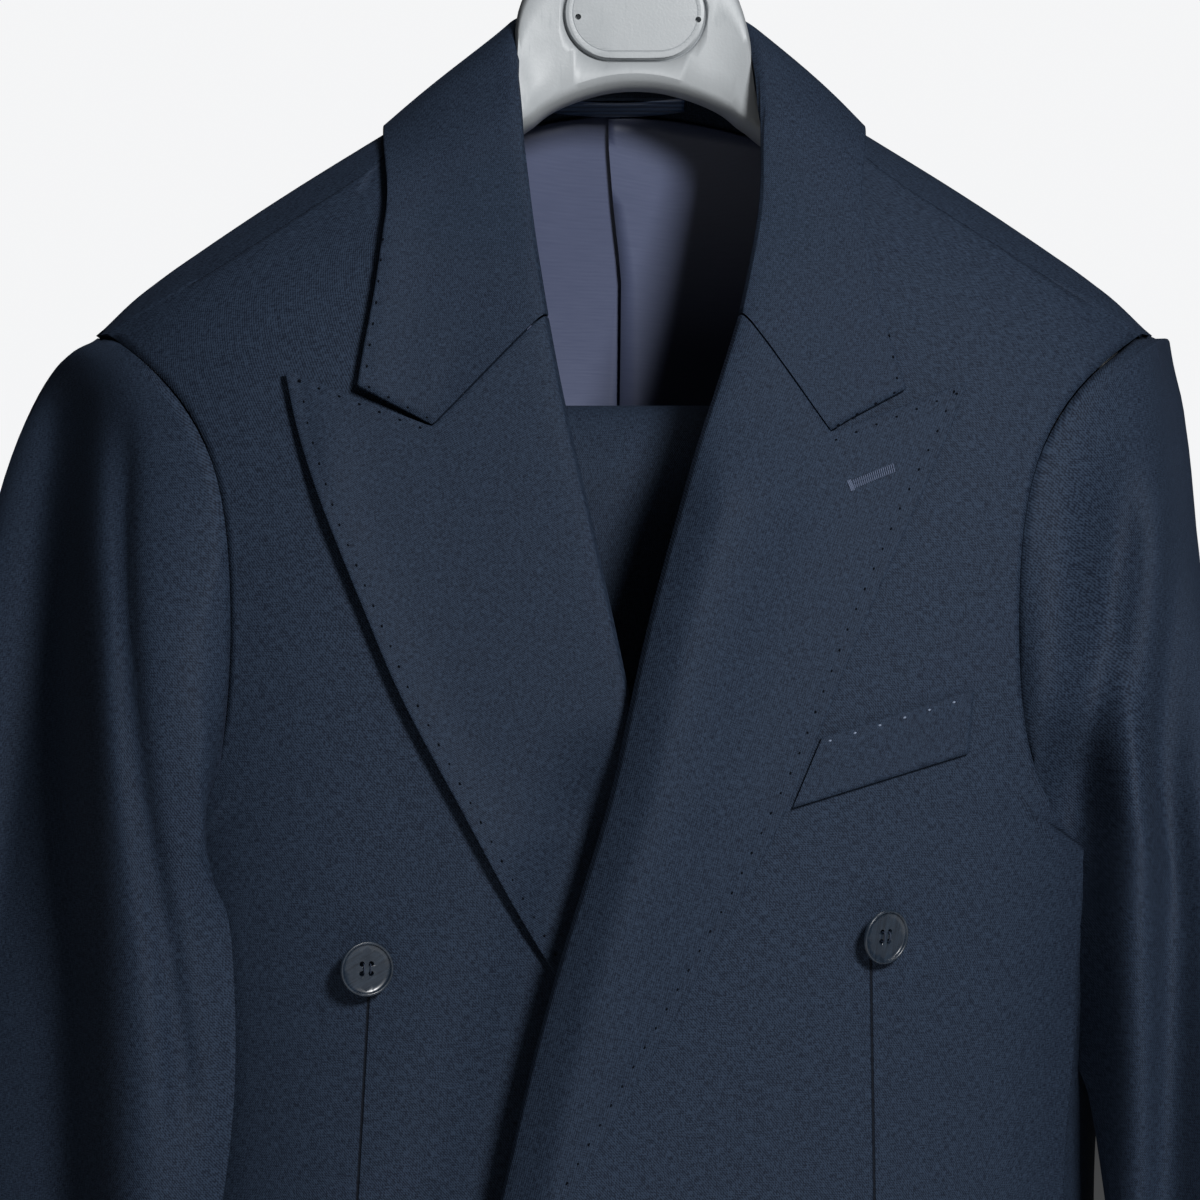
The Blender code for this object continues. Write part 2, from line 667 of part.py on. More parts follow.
def sleeve_grid(side):
    """The sleeve's outer surface, rows from the armhole to the cuff, one column for each station."""
    front, underarm, back = armhole_stretches()
    places = np.concatenate([front[:-1], underarm[:-1], back[:-1]])
    angle, level = places[:, 0], places[:, 1]
    start = body_point(angle, level)
    normal = body_normal(angle, level)
    along = unit(np.roll(start, -1, 0) - np.roll(start, 1, 0))
    outward = np.cross(normal, along)
    outward *= np.sign(np.sum(outward * (start - start.mean(axis=0)), axis=1))[:, None]
    outward = -outward  # the panels lie outside the armhole's loop, so the sleeve leaves to its inside
    down = np.array([0.0, 0.0, -1.0])
    depth_share = ease(-level / 200)[:, None]
    in_front = (start[:, 1] < 0)[:, None] * depth_share
    forward = unit(normal * np.concatenate([1 - 0.9 * in_front, np.ones((len(start), 2))], axis=1))
    leave = unit(
        outward * (1 - depth_share)
        + down * (0.25 + 0.35 * depth_share)
        + forward * (0.25 + 0.95 * depth_share)
    )
    ring = sleeve_ring(side, SLEEVE_LEVELS[0])
    drop = (start[:, 2] - ring[:, 2])[:, None]
    first = start + leave * drop * (CAP_FULLNESS[side] / 200 + 0.12)
    second = ring - down * drop * 0.45
    at_top = ease((level + CAP_TOP_LEVEL + 20) / CAP_TOP_LEVEL)[:, None]
    roped = unit(outward * [1, 1, 0])
    top_first = start + unit(roped - CAP_TOP_RISE[side] * down) * CAP_TOP_REACH[side]
    top_second = ring + (top_first - ring) * [CAP_TOP_LEAN[side], CAP_TOP_LEAN[side], 0.64]
    first = first + (top_first - first) * at_top
    second = second + (top_second - second) * at_top
    rows = [start + leave * 0.5 + roped * 1.8 * at_top]
    for share, top_share in zip(CAP_SHARES, CAP_TOP_SHARES):
        t = share + (top_share - share) * at_top
        arc = (
            (1 - t) ** 3 * start
            + 3 * t * (1 - t) ** 2 * first
            + 3 * t**2 * (1 - t) * second
            + t**3 * ring
        )
        rows.append(arc + roped * CAP_ROPE[side] * at_top * (1 - t) ** 4)
    rows += [sleeve_ring(side, z) for z in SLEEVE_LEVELS]
    grid = np.array(rows)
    grid[1:] = press_fold(grid[1:], SLEEVE_FOLDS[side])
    for k in range(1, len(grid)):
        grid[k] = clear_of_body(grid[k], SLEEVE_BODY_GAP * min(1.0, k / 3))
    return grid, normal, np.maximum(depth_share, at_top)


def build_sleeve(shop, side):
    """The upper and the under sleeve, joined by a seam near the front and one at the back."""
    grid, armhole_normal, turned = sleeve_grid(side)
    closed = np.concatenate([grid[:, -1:], grid, grid[:, :1]], axis=1)
    normals = grid_normals(closed)[:, 1:-1]
    centre = grid.mean(axis=1, keepdims=True)
    normals *= np.sign(np.sum(normals * (grid - centre), axis=-1).mean())
    normals[0] = unit(armhole_normal * (1 - turned) + normals[0] * turned)
    inner = grid - CLOTH * normals
    count = grid.shape[1]
    first, last = UNDER_SLEEVE
    pieces = {
        "under_sleeve": list(range(first, last + 1)),
        "upper_sleeve": [k % count for k in range(last, count + first + 1)],
    }
    for name, picked in pieces.items():
        walls = [mirrored(inset_edges(sheet[:, picked]), side) for sheet in (grid, inner)]
        shop.add(f"{name}_{SIDE_NAMES[side]}", wall_mesh(name, *walls), "wool")


# ---- Lapels and collar ---------------------------------------------------------------------------

LAPEL_STEPS = 15
LAPEL_COLUMNS = 8
ROLL_COLUMNS = 4
FACING_WIDTH = 17.0  # the stretch of facing that turns inside the front
FACING_COLUMNS = 2
FACING_GAP = 1.5  # between the front and its facing
ROLL_LIFT = {LEFT: 4.0, RIGHT: 3.5}
ROLL_LIFT_END = {LEFT: -300.0, RIGHT: -140.0}
EDGE_LIFT = 1.6


def lapel_top(side, share):
    """The lapel's top line: the gorge seam from the roll line to the notch, then up to the peak."""
    notch = (NOTCH_X[side], NOTCH_Z[side])
    peak = (float(LAPEL_EDGE[side](PEAK_Z[side])), PEAK_Z[side])
    roll = (float(ROLL_LINE[side](4)), 4.0)
    path = np.array([roll, notch, peak])
    return np.stack([np.interp(share, [0, 0.5, 1], path[:, k]) for k in (0, 1)], axis=-1)


def lapel_lines(side):
    """The lapel flat on the front: x and height of each place, rows from the gorge to the break."""
    share = np.linspace(0, 1, LAPEL_COLUMNS + 1)
    down = np.linspace(0, 1, LAPEL_STEPS + 1)
    roll_z = 4 + (BREAK_Z + 2 - 4) * down
    edge_z = PEAK_Z[side] + (BREAK_Z + 14 - PEAK_Z[side]) * down
    roll = np.stack([ROLL_LINE[side](roll_z), roll_z], axis=-1)
    edge = np.stack([LAPEL_EDGE[side](edge_z), edge_z], axis=-1)
    rows = roll[:, None] * (1 - share)[None, :, None] + edge[:, None] * share[None, :, None]
    top = lapel_top(side, share) - rows[0]
    return rows + top[None] * ((1 - down) ** 3)[:, None, None]


def lapel_section(side, row, down):
    """One row of a lapel as middle-of-cloth places, from the outer edge to the roll and round inside."""
    x, z = row[:, 0], row[:, 1]
    share = np.linspace(0, 1, len(row))
    lift = ROLL_LIFT[side] * ease((z[0] - ROLL_LIFT_END[side]) / 160) * (1 - ease(share * 1.6))
    edge_lift = EDGE_LIFT * ease((z[-1] + 240) / 60) * share**4
    over = lap_offset(side, x, z) + LAYER_GAP + LAPEL_CLOTH / 2 + lift + edge_lift
    under = lap_offset(side, x[0], z[0]) - CLOTH - FACING_GAP - LAPEL_CLOTH / 2
    radius = (over[0] - under) / 2
    outwards = unit(row[3] - row[0])
    reach = np.linalg.norm(row - row[0], axis=1)
    fixed = np.interp(LAPEL_COLUMNS / 2 * (1 + down), np.arange(len(row)), reach)
    moved = radius * np.clip(1 - reach / fixed, 0, 1)[:, None]
    flat = row + moved * outwards
    places = [(flat[k], over[k]) for k in range(len(row) - 1, -1, -1)]
    middle = (over[0] + under) / 2
    for k in range(1, ROLL_COLUMNS + 1):
        turn = math.pi * k / ROLL_COLUMNS
        places.append((row[0] + outwards * radius * (1 - math.sin(turn)), middle + radius * math.cos(turn)))
    for k in range(1, FACING_COLUMNS + 1):
        reach_in = radius + FACING_WIDTH * k / FACING_COLUMNS
        places.append((row[0] + outwards * reach_in, under))
    flat_places = np.array([place for place, _ in places])
    heights = np.array([height for _, height in places])
    return body_point(angle_of(flat_places[:, 0], flat_places[:, 1]), flat_places[:, 1], heights)


def lapel_middle(side):
    """The middle of a lapel's cloth, rows from the gorge seam to the break."""
    rows = lapel_lines(side)
    return np.array([lapel_section(side, row, k / LAPEL_STEPS) for k, row in enumerate(rows)])


def two_sided(middle, normals, thickness):
    """The two faces of a cloth from its middle."""
    return middle + normals * thickness / 2, middle - normals * thickness / 2


def build_lapel(shop, side):
    """A peaked lapel, turned at the roll line, with the start of its facing inside."""
    middle = lapel_middle(side)
    normals = grid_normals(middle)
    middle[0] += SEAM_INSET * unit(middle[1] - middle[0])
    faces = two_sided(middle, normals, LAPEL_CLOTH)
    mesh = wall_mesh("lapel", *(mirrored(face, side) for face in faces))
    shop.add(f"lapel_{SIDE_NAMES[side]}", mesh, "wool")


COLLAR_STEPS = 14  # rows from one end to the back centre
FALL_COLUMNS = LAPEL_COLUMNS
NOTCH_COLUMN = LAPEL_COLUMNS // 2
FOLD_COLUMNS = ROLL_COLUMNS
FALL_BULGE = 2.0
SHOULDER_LIFT = 1.2  # how much further the fall stands off where it crosses the shoulder
GORGE_INSET = 0.7
STAND_GAP = 0.5  # between the stand and the neck edge of the panels
STAND_DEPTH = 2.5  # how far the stand reaches below the panels
COLLAR_END_X = {LEFT: 113.0, RIGHT: 107.5}
COLLAR_END_Z = {LEFT: -27.0, RIGHT: -25.5}
COLLAR_FADE = 0.26  # share of the half collar over which its pointed end runs out
COLLAR_OUT = LAYER_GAP + LAPEL_CLOTH / 2


class CollarStation(NamedTuple):
    """The places that a row of the collar passes through."""

    fold: np.ndarray
    radius: float
    edge: np.ndarray
    neck: np.ndarray
    foot: np.ndarray


def collar_station(side, t):
    """The collar's station at a share of its half length, 0 at its end and 1 at the back centre."""
    stations = np.linspace(0, 1, len(NECK_ROWS))

    def read(name, at):
        return float(smooth_line(stations, column(NECK_ROWS, name))(at))

    def seam_place(at):
        z = read("seam_z", at)
        angle = float(angle_of(read(f"seam_{name}", at), z, at > 4.5 / (len(NECK_ROWS) - 1)))
        return body_surface(angle, z), body_normal(angle, z)

    name = SIDE_NAMES[side]
    fold = np.array([read(f"fold_{name}", t), read("fold_y", t), read("fold_z", t)])
    edge = body_point(read("edge_angle", t), read("edge_z", t), COLLAR_OUT + 0.6)
    seam, normal = seam_place(t)
    along = seam_place(min(t + 0.02, 1))[0] - seam_place(max(t - 0.02, 0))[0]
    inwards = unit(np.cross(along, normal))
    inwards *= np.sign(np.dot(inwards, fold - seam))
    neck = seam + inwards * (STAND_GAP + LAPEL_CLOTH / 2)
    foot = neck - normal * (CLOTH + STAND_DEPTH)
    return CollarStation(fold, read("fold_radius", t), edge, neck, foot)


def collar_row(side, t):
    """One row of the collar without its pointed end, as middle-of-cloth places from edge to foot."""
    station = collar_station(side, t)
    fall_way, stand_way = unit(station.edge - station.fold), unit(station.neck - station.fold)
    crest = -unit(fall_way + stand_way)
    centre = station.fold - crest * station.radius
    fall_side = unit(fall_way * np.dot(fall_way, stand_way) - stand_way)
    across = unit(fall_side - crest * np.dot(fall_side, crest))
    half_turn = math.acos(np.dot(fall_side, crest))
    turn = []
    for k in range(FOLD_COLUMNS + 1):
        angle = half_turn * (1 - 2 * k / FOLD_COLUMNS)
        turn.append(centre + station.radius * (crest * math.cos(angle) + across * math.sin(angle)))
    share = np.linspace(0, 1, FALL_COLUMNS + 1)[:-1, None]
    fall = station.edge + (turn[0] - station.edge) * share
    fall = fall + fall_side * FALL_BULGE * 4 * share * (1 - share)
    return np.concatenate([fall, turn, [station.neck, station.foot]])


def collar_end(side):
    """The collar's end: the lapel's gorge seam from the notch to the roll, and its own pointed corner."""
    gorge = lapel_middle(side)[0]
    share = np.linspace(0, 1, NOTCH_COLUMN + 1)[:-1]
    notch_x, notch_z = gorge[NOTCH_COLUMN][[0, 2]]
    x = COLLAR_END_X[side] + (notch_x - COLLAR_END_X[side]) * share
    z = COLLAR_END_Z[side] + (notch_z - COLLAR_END_Z[side]) * share
    free = body_point(angle_of(x, z), z, COLLAR_OUT + 0.4 + lap_offset(side, x, z))
    turned = gorge[NOTCH_COLUMN : LAPEL_COLUMNS + ROLL_COLUMNS + 1]
    inwards = unit(gorge[LAPEL_COLUMNS + ROLL_COLUMNS + 1] - turned[-1])
    return np.concatenate([free, turned, [turned[-1] + inwards, turned[-1] + 2 * inwards]])


def collar_half(side):
    """The middle of half of the collar's cloth, rows from its end to the back centre."""
    start = collar_end(side) - collar_row(side, 0)
    rows = []
    for t in np.linspace(0, 1, COLLAR_STEPS + 1):
        row = collar_row(side, t) + start * max(0.0, 1 - t / COLLAR_FADE) ** 2
        if t > 0:
            gap = COLLAR_OUT + 0.4 + SHOULDER_LIFT * math.exp(-(((t - 0.45) / 0.12) ** 2))
            row[: FALL_COLUMNS + 1] = clear_of_body(row[: FALL_COLUMNS + 1], gap)
        rows.append(row)
    return mirrored(np.array(rows), side)


def build_collar(shop):
    """The collar, from the gorge seam of one lapel round the neck to the other."""
    right, left = collar_half(RIGHT), collar_half(LEFT)
    middle = np.concatenate([right, left[-2::-1]])
    normals = grid_normals(middle)
    shared = slice(NOTCH_COLUMN, LAPEL_COLUMNS + ROLL_COLUMNS + 1)
    for side, end, beside in ((RIGHT, 0, 1), (LEFT, -1, -2)):
        gorge = mirrored(grid_normals(lapel_middle(side))[0], side)[shared]
        normals[end, shared] = gorge * np.sign(np.sum(gorge * normals[end, shared], axis=-1, keepdims=True))
        middle[end] += GORGE_INSET * unit(middle[beside] - middle[end])
    faces = two_sided(middle, normals, LAPEL_CLOTH)
    shop.add("collar", wall_mesh("collar", *faces), "wool")


# ---- Breast welt, lining and hanging loop --------------------------------------------------------

WELT_TOP = ((77.6, -165.5), (139.4, -146.6))  # x and height, from the lapel's edge out
WELT_BOTTOM = ((65.8, -193.3), (137.4, -172.0))
WELT_COLUMNS = 4
WELT_GAP = 0.8
WELT_CLOTH = 1.5


def build_welt(shop):
    """The breast pocket's welt, laid on the left front beside the lapel."""
    share = np.linspace(0, 1, WELT_COLUMNS + 1)[:, None]
    rows = [np.array(a) + (np.array(b) - np.array(a)) * share for a, b in (WELT_TOP, WELT_BOTTOM)]
    rows.insert(1, (rows[0] + rows[1]) / 2)
    flat = np.array(rows)
    x, z = flat[..., 0], flat[..., 1]
    out = lap_offset(LEFT, x, z) + WELT_GAP
    walls = [body_point(angle_of(x, z), z, out + thickness) for thickness in (WELT_CLOTH, 0.0)]
    shop.add("breast_welt", wall_mesh("breast_welt", *walls), "wool")


class LiningRow(NamedTuple):
    """One level of the back lining: its height at the centre and its outer edge."""

    centre_z: float
    edge_z: float
    edge_angle: float


LINING_ROWS = (
    LiningRow(101, 82, 128),
    LiningRow(74, 52, 130),
    LiningRow(32, 5, 135),
    LiningRow(-25, -55, 139),
    LiningRow(-100, -115, 139),
    LiningRow(-170, -175, 134),
    LiningRow(-225, -225, 121),
    LiningRow(-320, -320, 117),
    LiningRow(-430, -430, 116),
    LiningRow(-540, -540, 115),
    LiningRow(-640, -640, 115),
)
LINING_COLUMNS = 6
LINING_BACK_GAP = 3.0
PLEAT_X = -7.0  # the folded edge of the left half, which stands over the right half
PLEAT_UNDER = 2.0
PLEAT_STAND = 4.0


def build_lining(shop, side):
    """A half of the back lining. The left half ends in the folded edge of the centre pleat."""
    centre_x = PLEAT_X if side == LEFT else PLEAT_UNDER
    share = np.linspace(0, 1, LINING_COLUMNS + 1)
    angles, levels = [], []
    for row in LINING_ROWS:
        start = float(angle_of(centre_x, row.centre_z, behind=True))
        angles.append(start + (row.edge_angle - start) * share)
        levels.append(row.centre_z + (row.edge_z - row.centre_z) * share**2)
    angles, levels = np.array(angles), np.array(levels)
    out = np.full_like(angles, -CLOTH - LINING_BACK_GAP)
    if side == LEFT:
        out -= PLEAT_STAND * (1 - ease(share * 3.5))
    walls = [body_point(angles, levels, out - thickness) for thickness in (0.0, LINING)]
    mesh = wall_mesh("lining", *(mirrored(wall, side) for wall in walls))
    shop.add(f"back_lining_{SIDE_NAMES[side]}", mesh, "lining")


LOOP_ENDS_X = (-33.0, 26.0)
LOOP_END_Z = 101.5
LOOP_SAG = 2.5
LOOP_Y = 36.2
LOOP_STAND = 2.0  # how far its middle stands forward of its ends
LOOP_HEIGHT = 6.0
LOOP_CLOTH = 1.5
LOOP_COLUMNS = 8


def build_loop(shop):
    """The hanging loop across the back of the neck."""
    share = np.linspace(0, 1, LOOP_COLUMNS + 1)
    arch = 4 * share * (1 - share)
    x = LOOP_ENDS_X[0] + (LOOP_ENDS_X[1] - LOOP_ENDS_X[0]) * share
    z = LOOP_END_Z - LOOP_SAG * arch
    y = LOOP_Y - LOOP_STAND * arch
    rows = [np.stack([x, y, z + rise], axis=-1) for rise in (LOOP_HEIGHT / 2, 0.0, -LOOP_HEIGHT / 2)]
    front = np.array(rows)
    back = front + np.array([0, LOOP_CLOTH, 0])
    shop.add("hanging_loop", wall_mesh("hanging_loop", front, back), "loop")


# ---- Buttons -------------------------------------------------------------------------------------

BUTTON_STEPS = 20
BUTTON_PROFILE = (
    (0.0, -1.7),
    (9.4, -1.7),
    (11.0, -0.3),
    (11.4, 0.8),
    (11.0, 1.7),
    (10.3, 1.7),
    (9.7, 0.5),
    (0.0, 0.5),
)
BUTTON_HOLE_RADIUS = 1.1
BUTTON_HOLE_SPACING = 3.8


class ButtonPlace(NamedTuple):
    """A button: which front carries it, its x and height, and how far it turns to the wearer's left.

    The gap is to the front's curve. Where the curve is strong, its flat faces lie a millimetre inside it.
    """

    name: str
    front: int
    x: float
    z: float
    turn: float
    tilt: float
    gap: float


BUTTONS = (
    ButtonPlace("button_top_right", RIGHT, -102.6, -257.5, 20.0, -4.0, -0.5),
    ButtonPlace("button_top_left", LEFT, 102.1, -244.2, 36.0, -9.0, -0.75),
    ButtonPlace("button_low_right", LEFT, -49.0, -420.0, 4.0, 0.0, 0.4),
    ButtonPlace("button_low_left", LEFT, 51.0, -410.0, 14.0, 0.0, 0.3),
)


def button_mesh():
    """A four-hole button with a raised rim, turned about +Z, in metres about its own middle."""
    profile = bpy.data.meshes.new("button_profile")
    points = [(radius * MM, 0, height * MM) for radius, height in reversed(BUTTON_PROFILE)]
    profile.from_pydata(points, [(k, k + 1) for k in range(len(points) - 1)], [])
    turned = bpy.data.objects.new("button_turned", profile)
    bpy.context.scene.collection.objects.link(turned)
    screw = turned.modifiers.new("turn", "SCREW")
    screw.steps = screw.render_steps = BUTTON_STEPS
    screw.use_merge_vertices = True
    screw.merge_threshold = 1e-5
    drills = []
    for corner in range(4):
        angle = math.pi / 4 + corner * math.pi / 2
        drill = bpy.data.meshes.new("button_drill")
        model = bmesh.new()
        bmesh.ops.create_cone(
            model,
            cap_ends=True,
            segments=8,
            radius1=BUTTON_HOLE_RADIUS * MM,
            radius2=BUTTON_HOLE_RADIUS * MM,
            depth=0.01,
        )
        reach = BUTTON_HOLE_SPACING / math.sqrt(2) * MM
        place = (reach * math.cos(angle), reach * math.sin(angle), 0)
        bmesh.ops.translate(model, verts=model.verts, vec=place)
        model.to_mesh(drill)
        model.free()
        cutter = bpy.data.objects.new("button_drill", drill)
        bpy.context.scene.collection.objects.link(cutter)
        cut = turned.modifiers.new("hole", "BOOLEAN")
        cut.operation = "DIFFERENCE"
        cut.object = cutter
        drills.append(cutter)
    bpy.context.view_layer.update()
    graph = bpy.context.evaluated_depsgraph_get()
    mesh = bpy.data.meshes.new_from_object(turned.evaluated_get(graph))
    for helper in [turned, *drills]:
        bpy.data.objects.remove(helper)
    mesh.shade_smooth()
    mesh.set_sharp_from_angle(angle=math.radians(35))
    return mesh


def build_button(shop, place, mesh):
    """A button on its front, tilted on its thread so that its lowest rim just clears the cloth."""
    own_x = place.x * place.front
    angle = float(angle_of(own_x, place.z))
    side = np.array([place.front, 1, 1])
    out = float(lap_offset(place.front, own_x, place.z))
    seat = body_point(angle, place.z, out) * side
    normal = body_normal(angle, place.z) * side
    turn, tilt = math.radians(place.turn), math.radians(place.tilt)
    face = Vector((math.sin(turn) * math.cos(tilt), -math.cos(turn) * math.cos(tilt), math.sin(tilt)))
    lean = math.acos(min(1.0, face.dot(Vector(normal))))
    rise = place.gap + max(r * math.sin(lean) - h * math.cos(lean) for r, h in BUTTON_PROFILE)
    part = shop.add(place.name, mesh.copy(), "horn")
    part.location = to_part_frame(seat + normal * rise)
    part.rotation_mode = "QUATERNION"
    part.rotation_quaternion = face.to_track_quat("Z", "Y")


# ---- Trousers ------------------------------------------------------------------------------------

TROUSER_CENTRE_X = 2.0
TROUSER_LAYERS = 4.2  # a front and a back cloth lying together
TROUSER_GAP = 0.5
BAR_Z = -44.5
BAR_RADIUS = 6.5
TROUSER_END_Z = -556.0
WAISTBAND_HEIGHT = 40.0
FOLD_STEPS = 10
HANG_STEPS = 5
TROUSER_COLUMNS = 2
TROUSER_SPLIT = -0.30  # where the side seam lies across a folded leg, whose front is narrower than its back


class TrouserRow(NamedTuple):
    """The folded leg's half width at a distance down from the bar, on the hem side and the waist side."""

    down: float
    hem_side: float
    waist_side: float


TROUSER_ROWS = (
    TrouserRow(0, 113, 113),
    TrouserRow(130, 110, 126),
    TrouserRow(260, 104, 148),
    TrouserRow(400, 98, 176),
    TrouserRow(512, 95, 187),
)
TROUSER_EDGE_GROOVE = 2.0  # how deep the groove is where a leg's two cloths part at its edges
LEG_RADIUS = {
    RIGHT: BAR_RADIUS + TROUSER_GAP,
    LEFT: BAR_RADIUS + 2 * TROUSER_GAP + TROUSER_LAYERS,
}


def leg_path(radius, waist_end):
    """The inner side of a leg over the bar: y, height, way out and distance down, hem side first."""
    rows = []
    down = BAR_Z - TROUSER_END_Z
    for k in range(HANG_STEPS):
        z = TROUSER_END_Z + down * k / HANG_STEPS
        rows.append((-radius, z, (-1, 0), BAR_Z - z, -1))
    for k in range(FOLD_STEPS + 1):
        turn = math.pi * k / FOLD_STEPS
        way = (-math.cos(turn), math.sin(turn))
        rows.append((radius * way[0], BAR_Z + radius * way[1], way, 0.0, -1 if turn < math.pi / 2 else 1))
    for k in range(1, HANG_STEPS + 1):
        z = BAR_Z + (waist_end - BAR_Z) * k / HANG_STEPS
        rows.append((radius, z, (1, 0), BAR_Z - z, 1))
    return rows


def trouser_half_width(row_side, down):
    """The folded leg's half width."""
    name = "hem_side" if row_side < 0 else "waist_side"
    return float(smooth_line(column(TROUSER_ROWS, "down"), column(TROUSER_ROWS, name))(down))


def leg_walls(path, radius_step, across):
    """The near and far side grids of a strip of a leg, for shares across its width."""
    walls = []
    for thickness in (radius_step, 0.0):
        rows = []
        for y, z, way, down, row_side in path:
            x = TROUSER_CENTRE_X + np.array(across) * trouser_half_width(row_side, down)
            place = np.array([y, z]) + np.array(way) * thickness
            rows.append(np.stack([x, np.full_like(x, place[0]), np.full_like(x, place[1])], axis=-1))
        walls.append(np.array(rows))
    return walls


def build_trousers(shop):
    """Both legs folded over the bar, each with its front and its back, and the waistband's halves."""
    waist_end = TROUSER_END_Z + WAISTBAND_HEIGHT
    halves = {
        "front": np.linspace(-1, TROUSER_SPLIT, TROUSER_COLUMNS + 1),
        "back": np.linspace(TROUSER_SPLIT, 1, TROUSER_COLUMNS + 1),
    }
    for side in (RIGHT, LEFT):
        radius = LEG_RADIUS[side]
        path = leg_path(radius, waist_end)
        for half, across in halves.items():
            walls = [inset_edges(wall) for wall in leg_walls(path, TROUSER_LAYERS, across)]
            name = f"trouser_{half}_{SIDE_NAMES[side]}"
            shop.add(name, wall_mesh(name, *walls, groove=TROUSER_EDGE_GROOVE), "wool")
        band_path = []
        for z in (waist_end - TROUSER_GAP, (waist_end + TROUSER_END_Z) / 2, TROUSER_END_Z):
            band_path.append((radius, z, (1, 0), BAR_Z - z, 1))
        walls = leg_walls(band_path, TROUSER_LAYERS, np.linspace(-1, 1, 2 * TROUSER_COLUMNS + 1))
        name = f"waistband_{SIDE_NAMES[side]}"
        shop.add(name, wall_mesh(name, *walls, groove=TROUSER_EDGE_GROOVE), "wool")


# ---- Hanger --------------------------------------------------------------------------------------


class ArmRing(NamedTuple):
    """One section of a hanger arm: the shoulder level it bears, its reach round the ridge, its height."""

    z: float
    front_angle: float
    back_angle: float
    height: float


class BlockRing(NamedTuple):
    """One section of the hanger's middle, at a distance from the hook."""

    x: float
    top: float
    bottom: float
    half_depth: float


ARM_RINGS = (
    ArmRing(88, 64, 116, 24),
    ArmRing(80, 62, 118, 30),
    ArmRing(62, 63, 117, 34),
    ArmRing(42, 64, 116, 33),
    ArmRing(22, 65, 114, 30),
    ArmRing(13, 66, 112, 26),
    ArmRing(9.5, 72, 104, 16),
)
BLOCK_RINGS = (
    BlockRing(54, 96, 79, 19),
    BlockRing(48.5, 103, 84, 19),
    BlockRing(46, 110, 86, 18),
    BlockRing(42.5, 124, 88, 17),
    BlockRing(38.5, 141, 91.5, 15),
    BlockRing(33, 158, 95, 14),
    BlockRing(24, 171, 99, 14),
    BlockRing(12, 177, 102.5, 14),
    BlockRing(0, 178, 103.5, 14),
)
HANGER_CLEARANCE = 2.0  # between the arms' ridge and the inside of the shoulders
HANGER_FALL = 4.0  # how much further the arms stand from the cloth at their front and back
ARM_TOP_POINTS = 7
ARM_EDGE = 7.0
HOOK_WIRE_RADIUS = 3.0
HOOK_INNER_RADIUS = 19.0
HOOK_STEM_FOOT = 178.4
BAR_HALF_LENGTH = 180.0
BAR_BEND_RADIUS = 22.0
BAR_TOP_Z = -11.0
PLATE_CENTRE_Z = 134.5
PLATE_LENGTH = 58.0
PLATE_HEIGHT = 38.0
PLATE_THICKNESS = 1.2


def arm_ring(ring):
    """A section of the arm on the wearer's left, front to back over the top and back underneath."""
    angles = np.linspace(ring.front_angle, ring.back_angle, ARM_TOP_POINTS)
    away = HANGER_CLEARANCE + HANGER_FALL * np.linspace(-1, 1, ARM_TOP_POINTS) ** 2
    top = body_point(angles, np.full(ARM_TOP_POINTS, ring.z), -CLOTH - away)
    crown = top[:, 2].max()
    front, back = top[0], top[-1]
    x = top[:, 0].mean()
    below = crown - ring.height
    under = [
        (x, back[1] - 1, below + ARM_EDGE),
        (x, back[1] - ARM_EDGE, below + 1),
        (x, (front[1] + back[1]) / 2, below),
        (x, front[1] + ARM_EDGE, below + 1),
        (x, front[1] + 1, below + ARM_EDGE),
    ]
    return np.concatenate([top, np.array(under)])


def block_ring(ring, side):
    """A section of the hanger's middle, with the arm's count of points."""
    depth, top, bottom = ring.half_depth, ring.top, ring.bottom
    shoulder = top - 6
    middle = (shoulder + bottom) / 2
    outline = (
        (-depth, middle),
        (-depth, shoulder),
        (-depth + 5, top - 1),
        (0, top),
        (depth - 5, top - 1),
        (depth, shoulder),
        (depth, middle),
        (depth, bottom + 5),
        (depth - 6, bottom + 0.5),
        (0, bottom),
        (-depth + 6, bottom + 0.5),
        (-depth, bottom + 5),
    )
    x = HOOK_SEAT[0] + side * ring.x
    return np.array([(x, y, z) for y, z in outline])


def build_hanger_body(shop):
    """The moulded hanger: both arms and the arched middle between them, one closed loft."""
    rings = [mirrored(arm_ring(ring), RIGHT) for ring in reversed(ARM_RINGS)]
    rings += [block_ring(ring, RIGHT) for ring in BLOCK_RINGS]
    rings += [block_ring(ring, LEFT) for ring in reversed(BLOCK_RINGS[:-1])]
    rings += [arm_ring(ring) for ring in ARM_RINGS]
    points = np.array(rings)
    count, around = points.shape[:2]
    faces = []
    for i in range(count - 1):
        for j in range(around):
            a, b = i * around + j, i * around + (j + 1) % around
            faces.append((a, b, b + around, a + around))
    faces.append(tuple(range(around)))
    faces.append(tuple((count - 1) * around + j for j in range(around)))
    shop.add("hanger_body", mesh_from("hanger_body", points.reshape(-1, 3), faces), "hanger")


def add_tube(shop, name, points, radius, finish):
    """A round bar along points in pattern millimetres, as a capped curve."""
    curve = bpy.data.curves.new(name, "CURVE")
    curve.dimensions = "3D"
    curve.bevel_depth = radius * MM
    curve.bevel_resolution = 2
    curve.use_fill_caps = True
    spline = curve.splines.new("POLY")
    spline.points.add(len(points) - 1)
    for target, point in zip(spline.points, to_part_frame(np.array(points))):
        target.co = (*point, 1)
    curve.materials.append(make_material(name, *shop.finishes[finish]))
    part = bpy.data.objects.new(name, curve)
    shop.parts.objects.link(part)


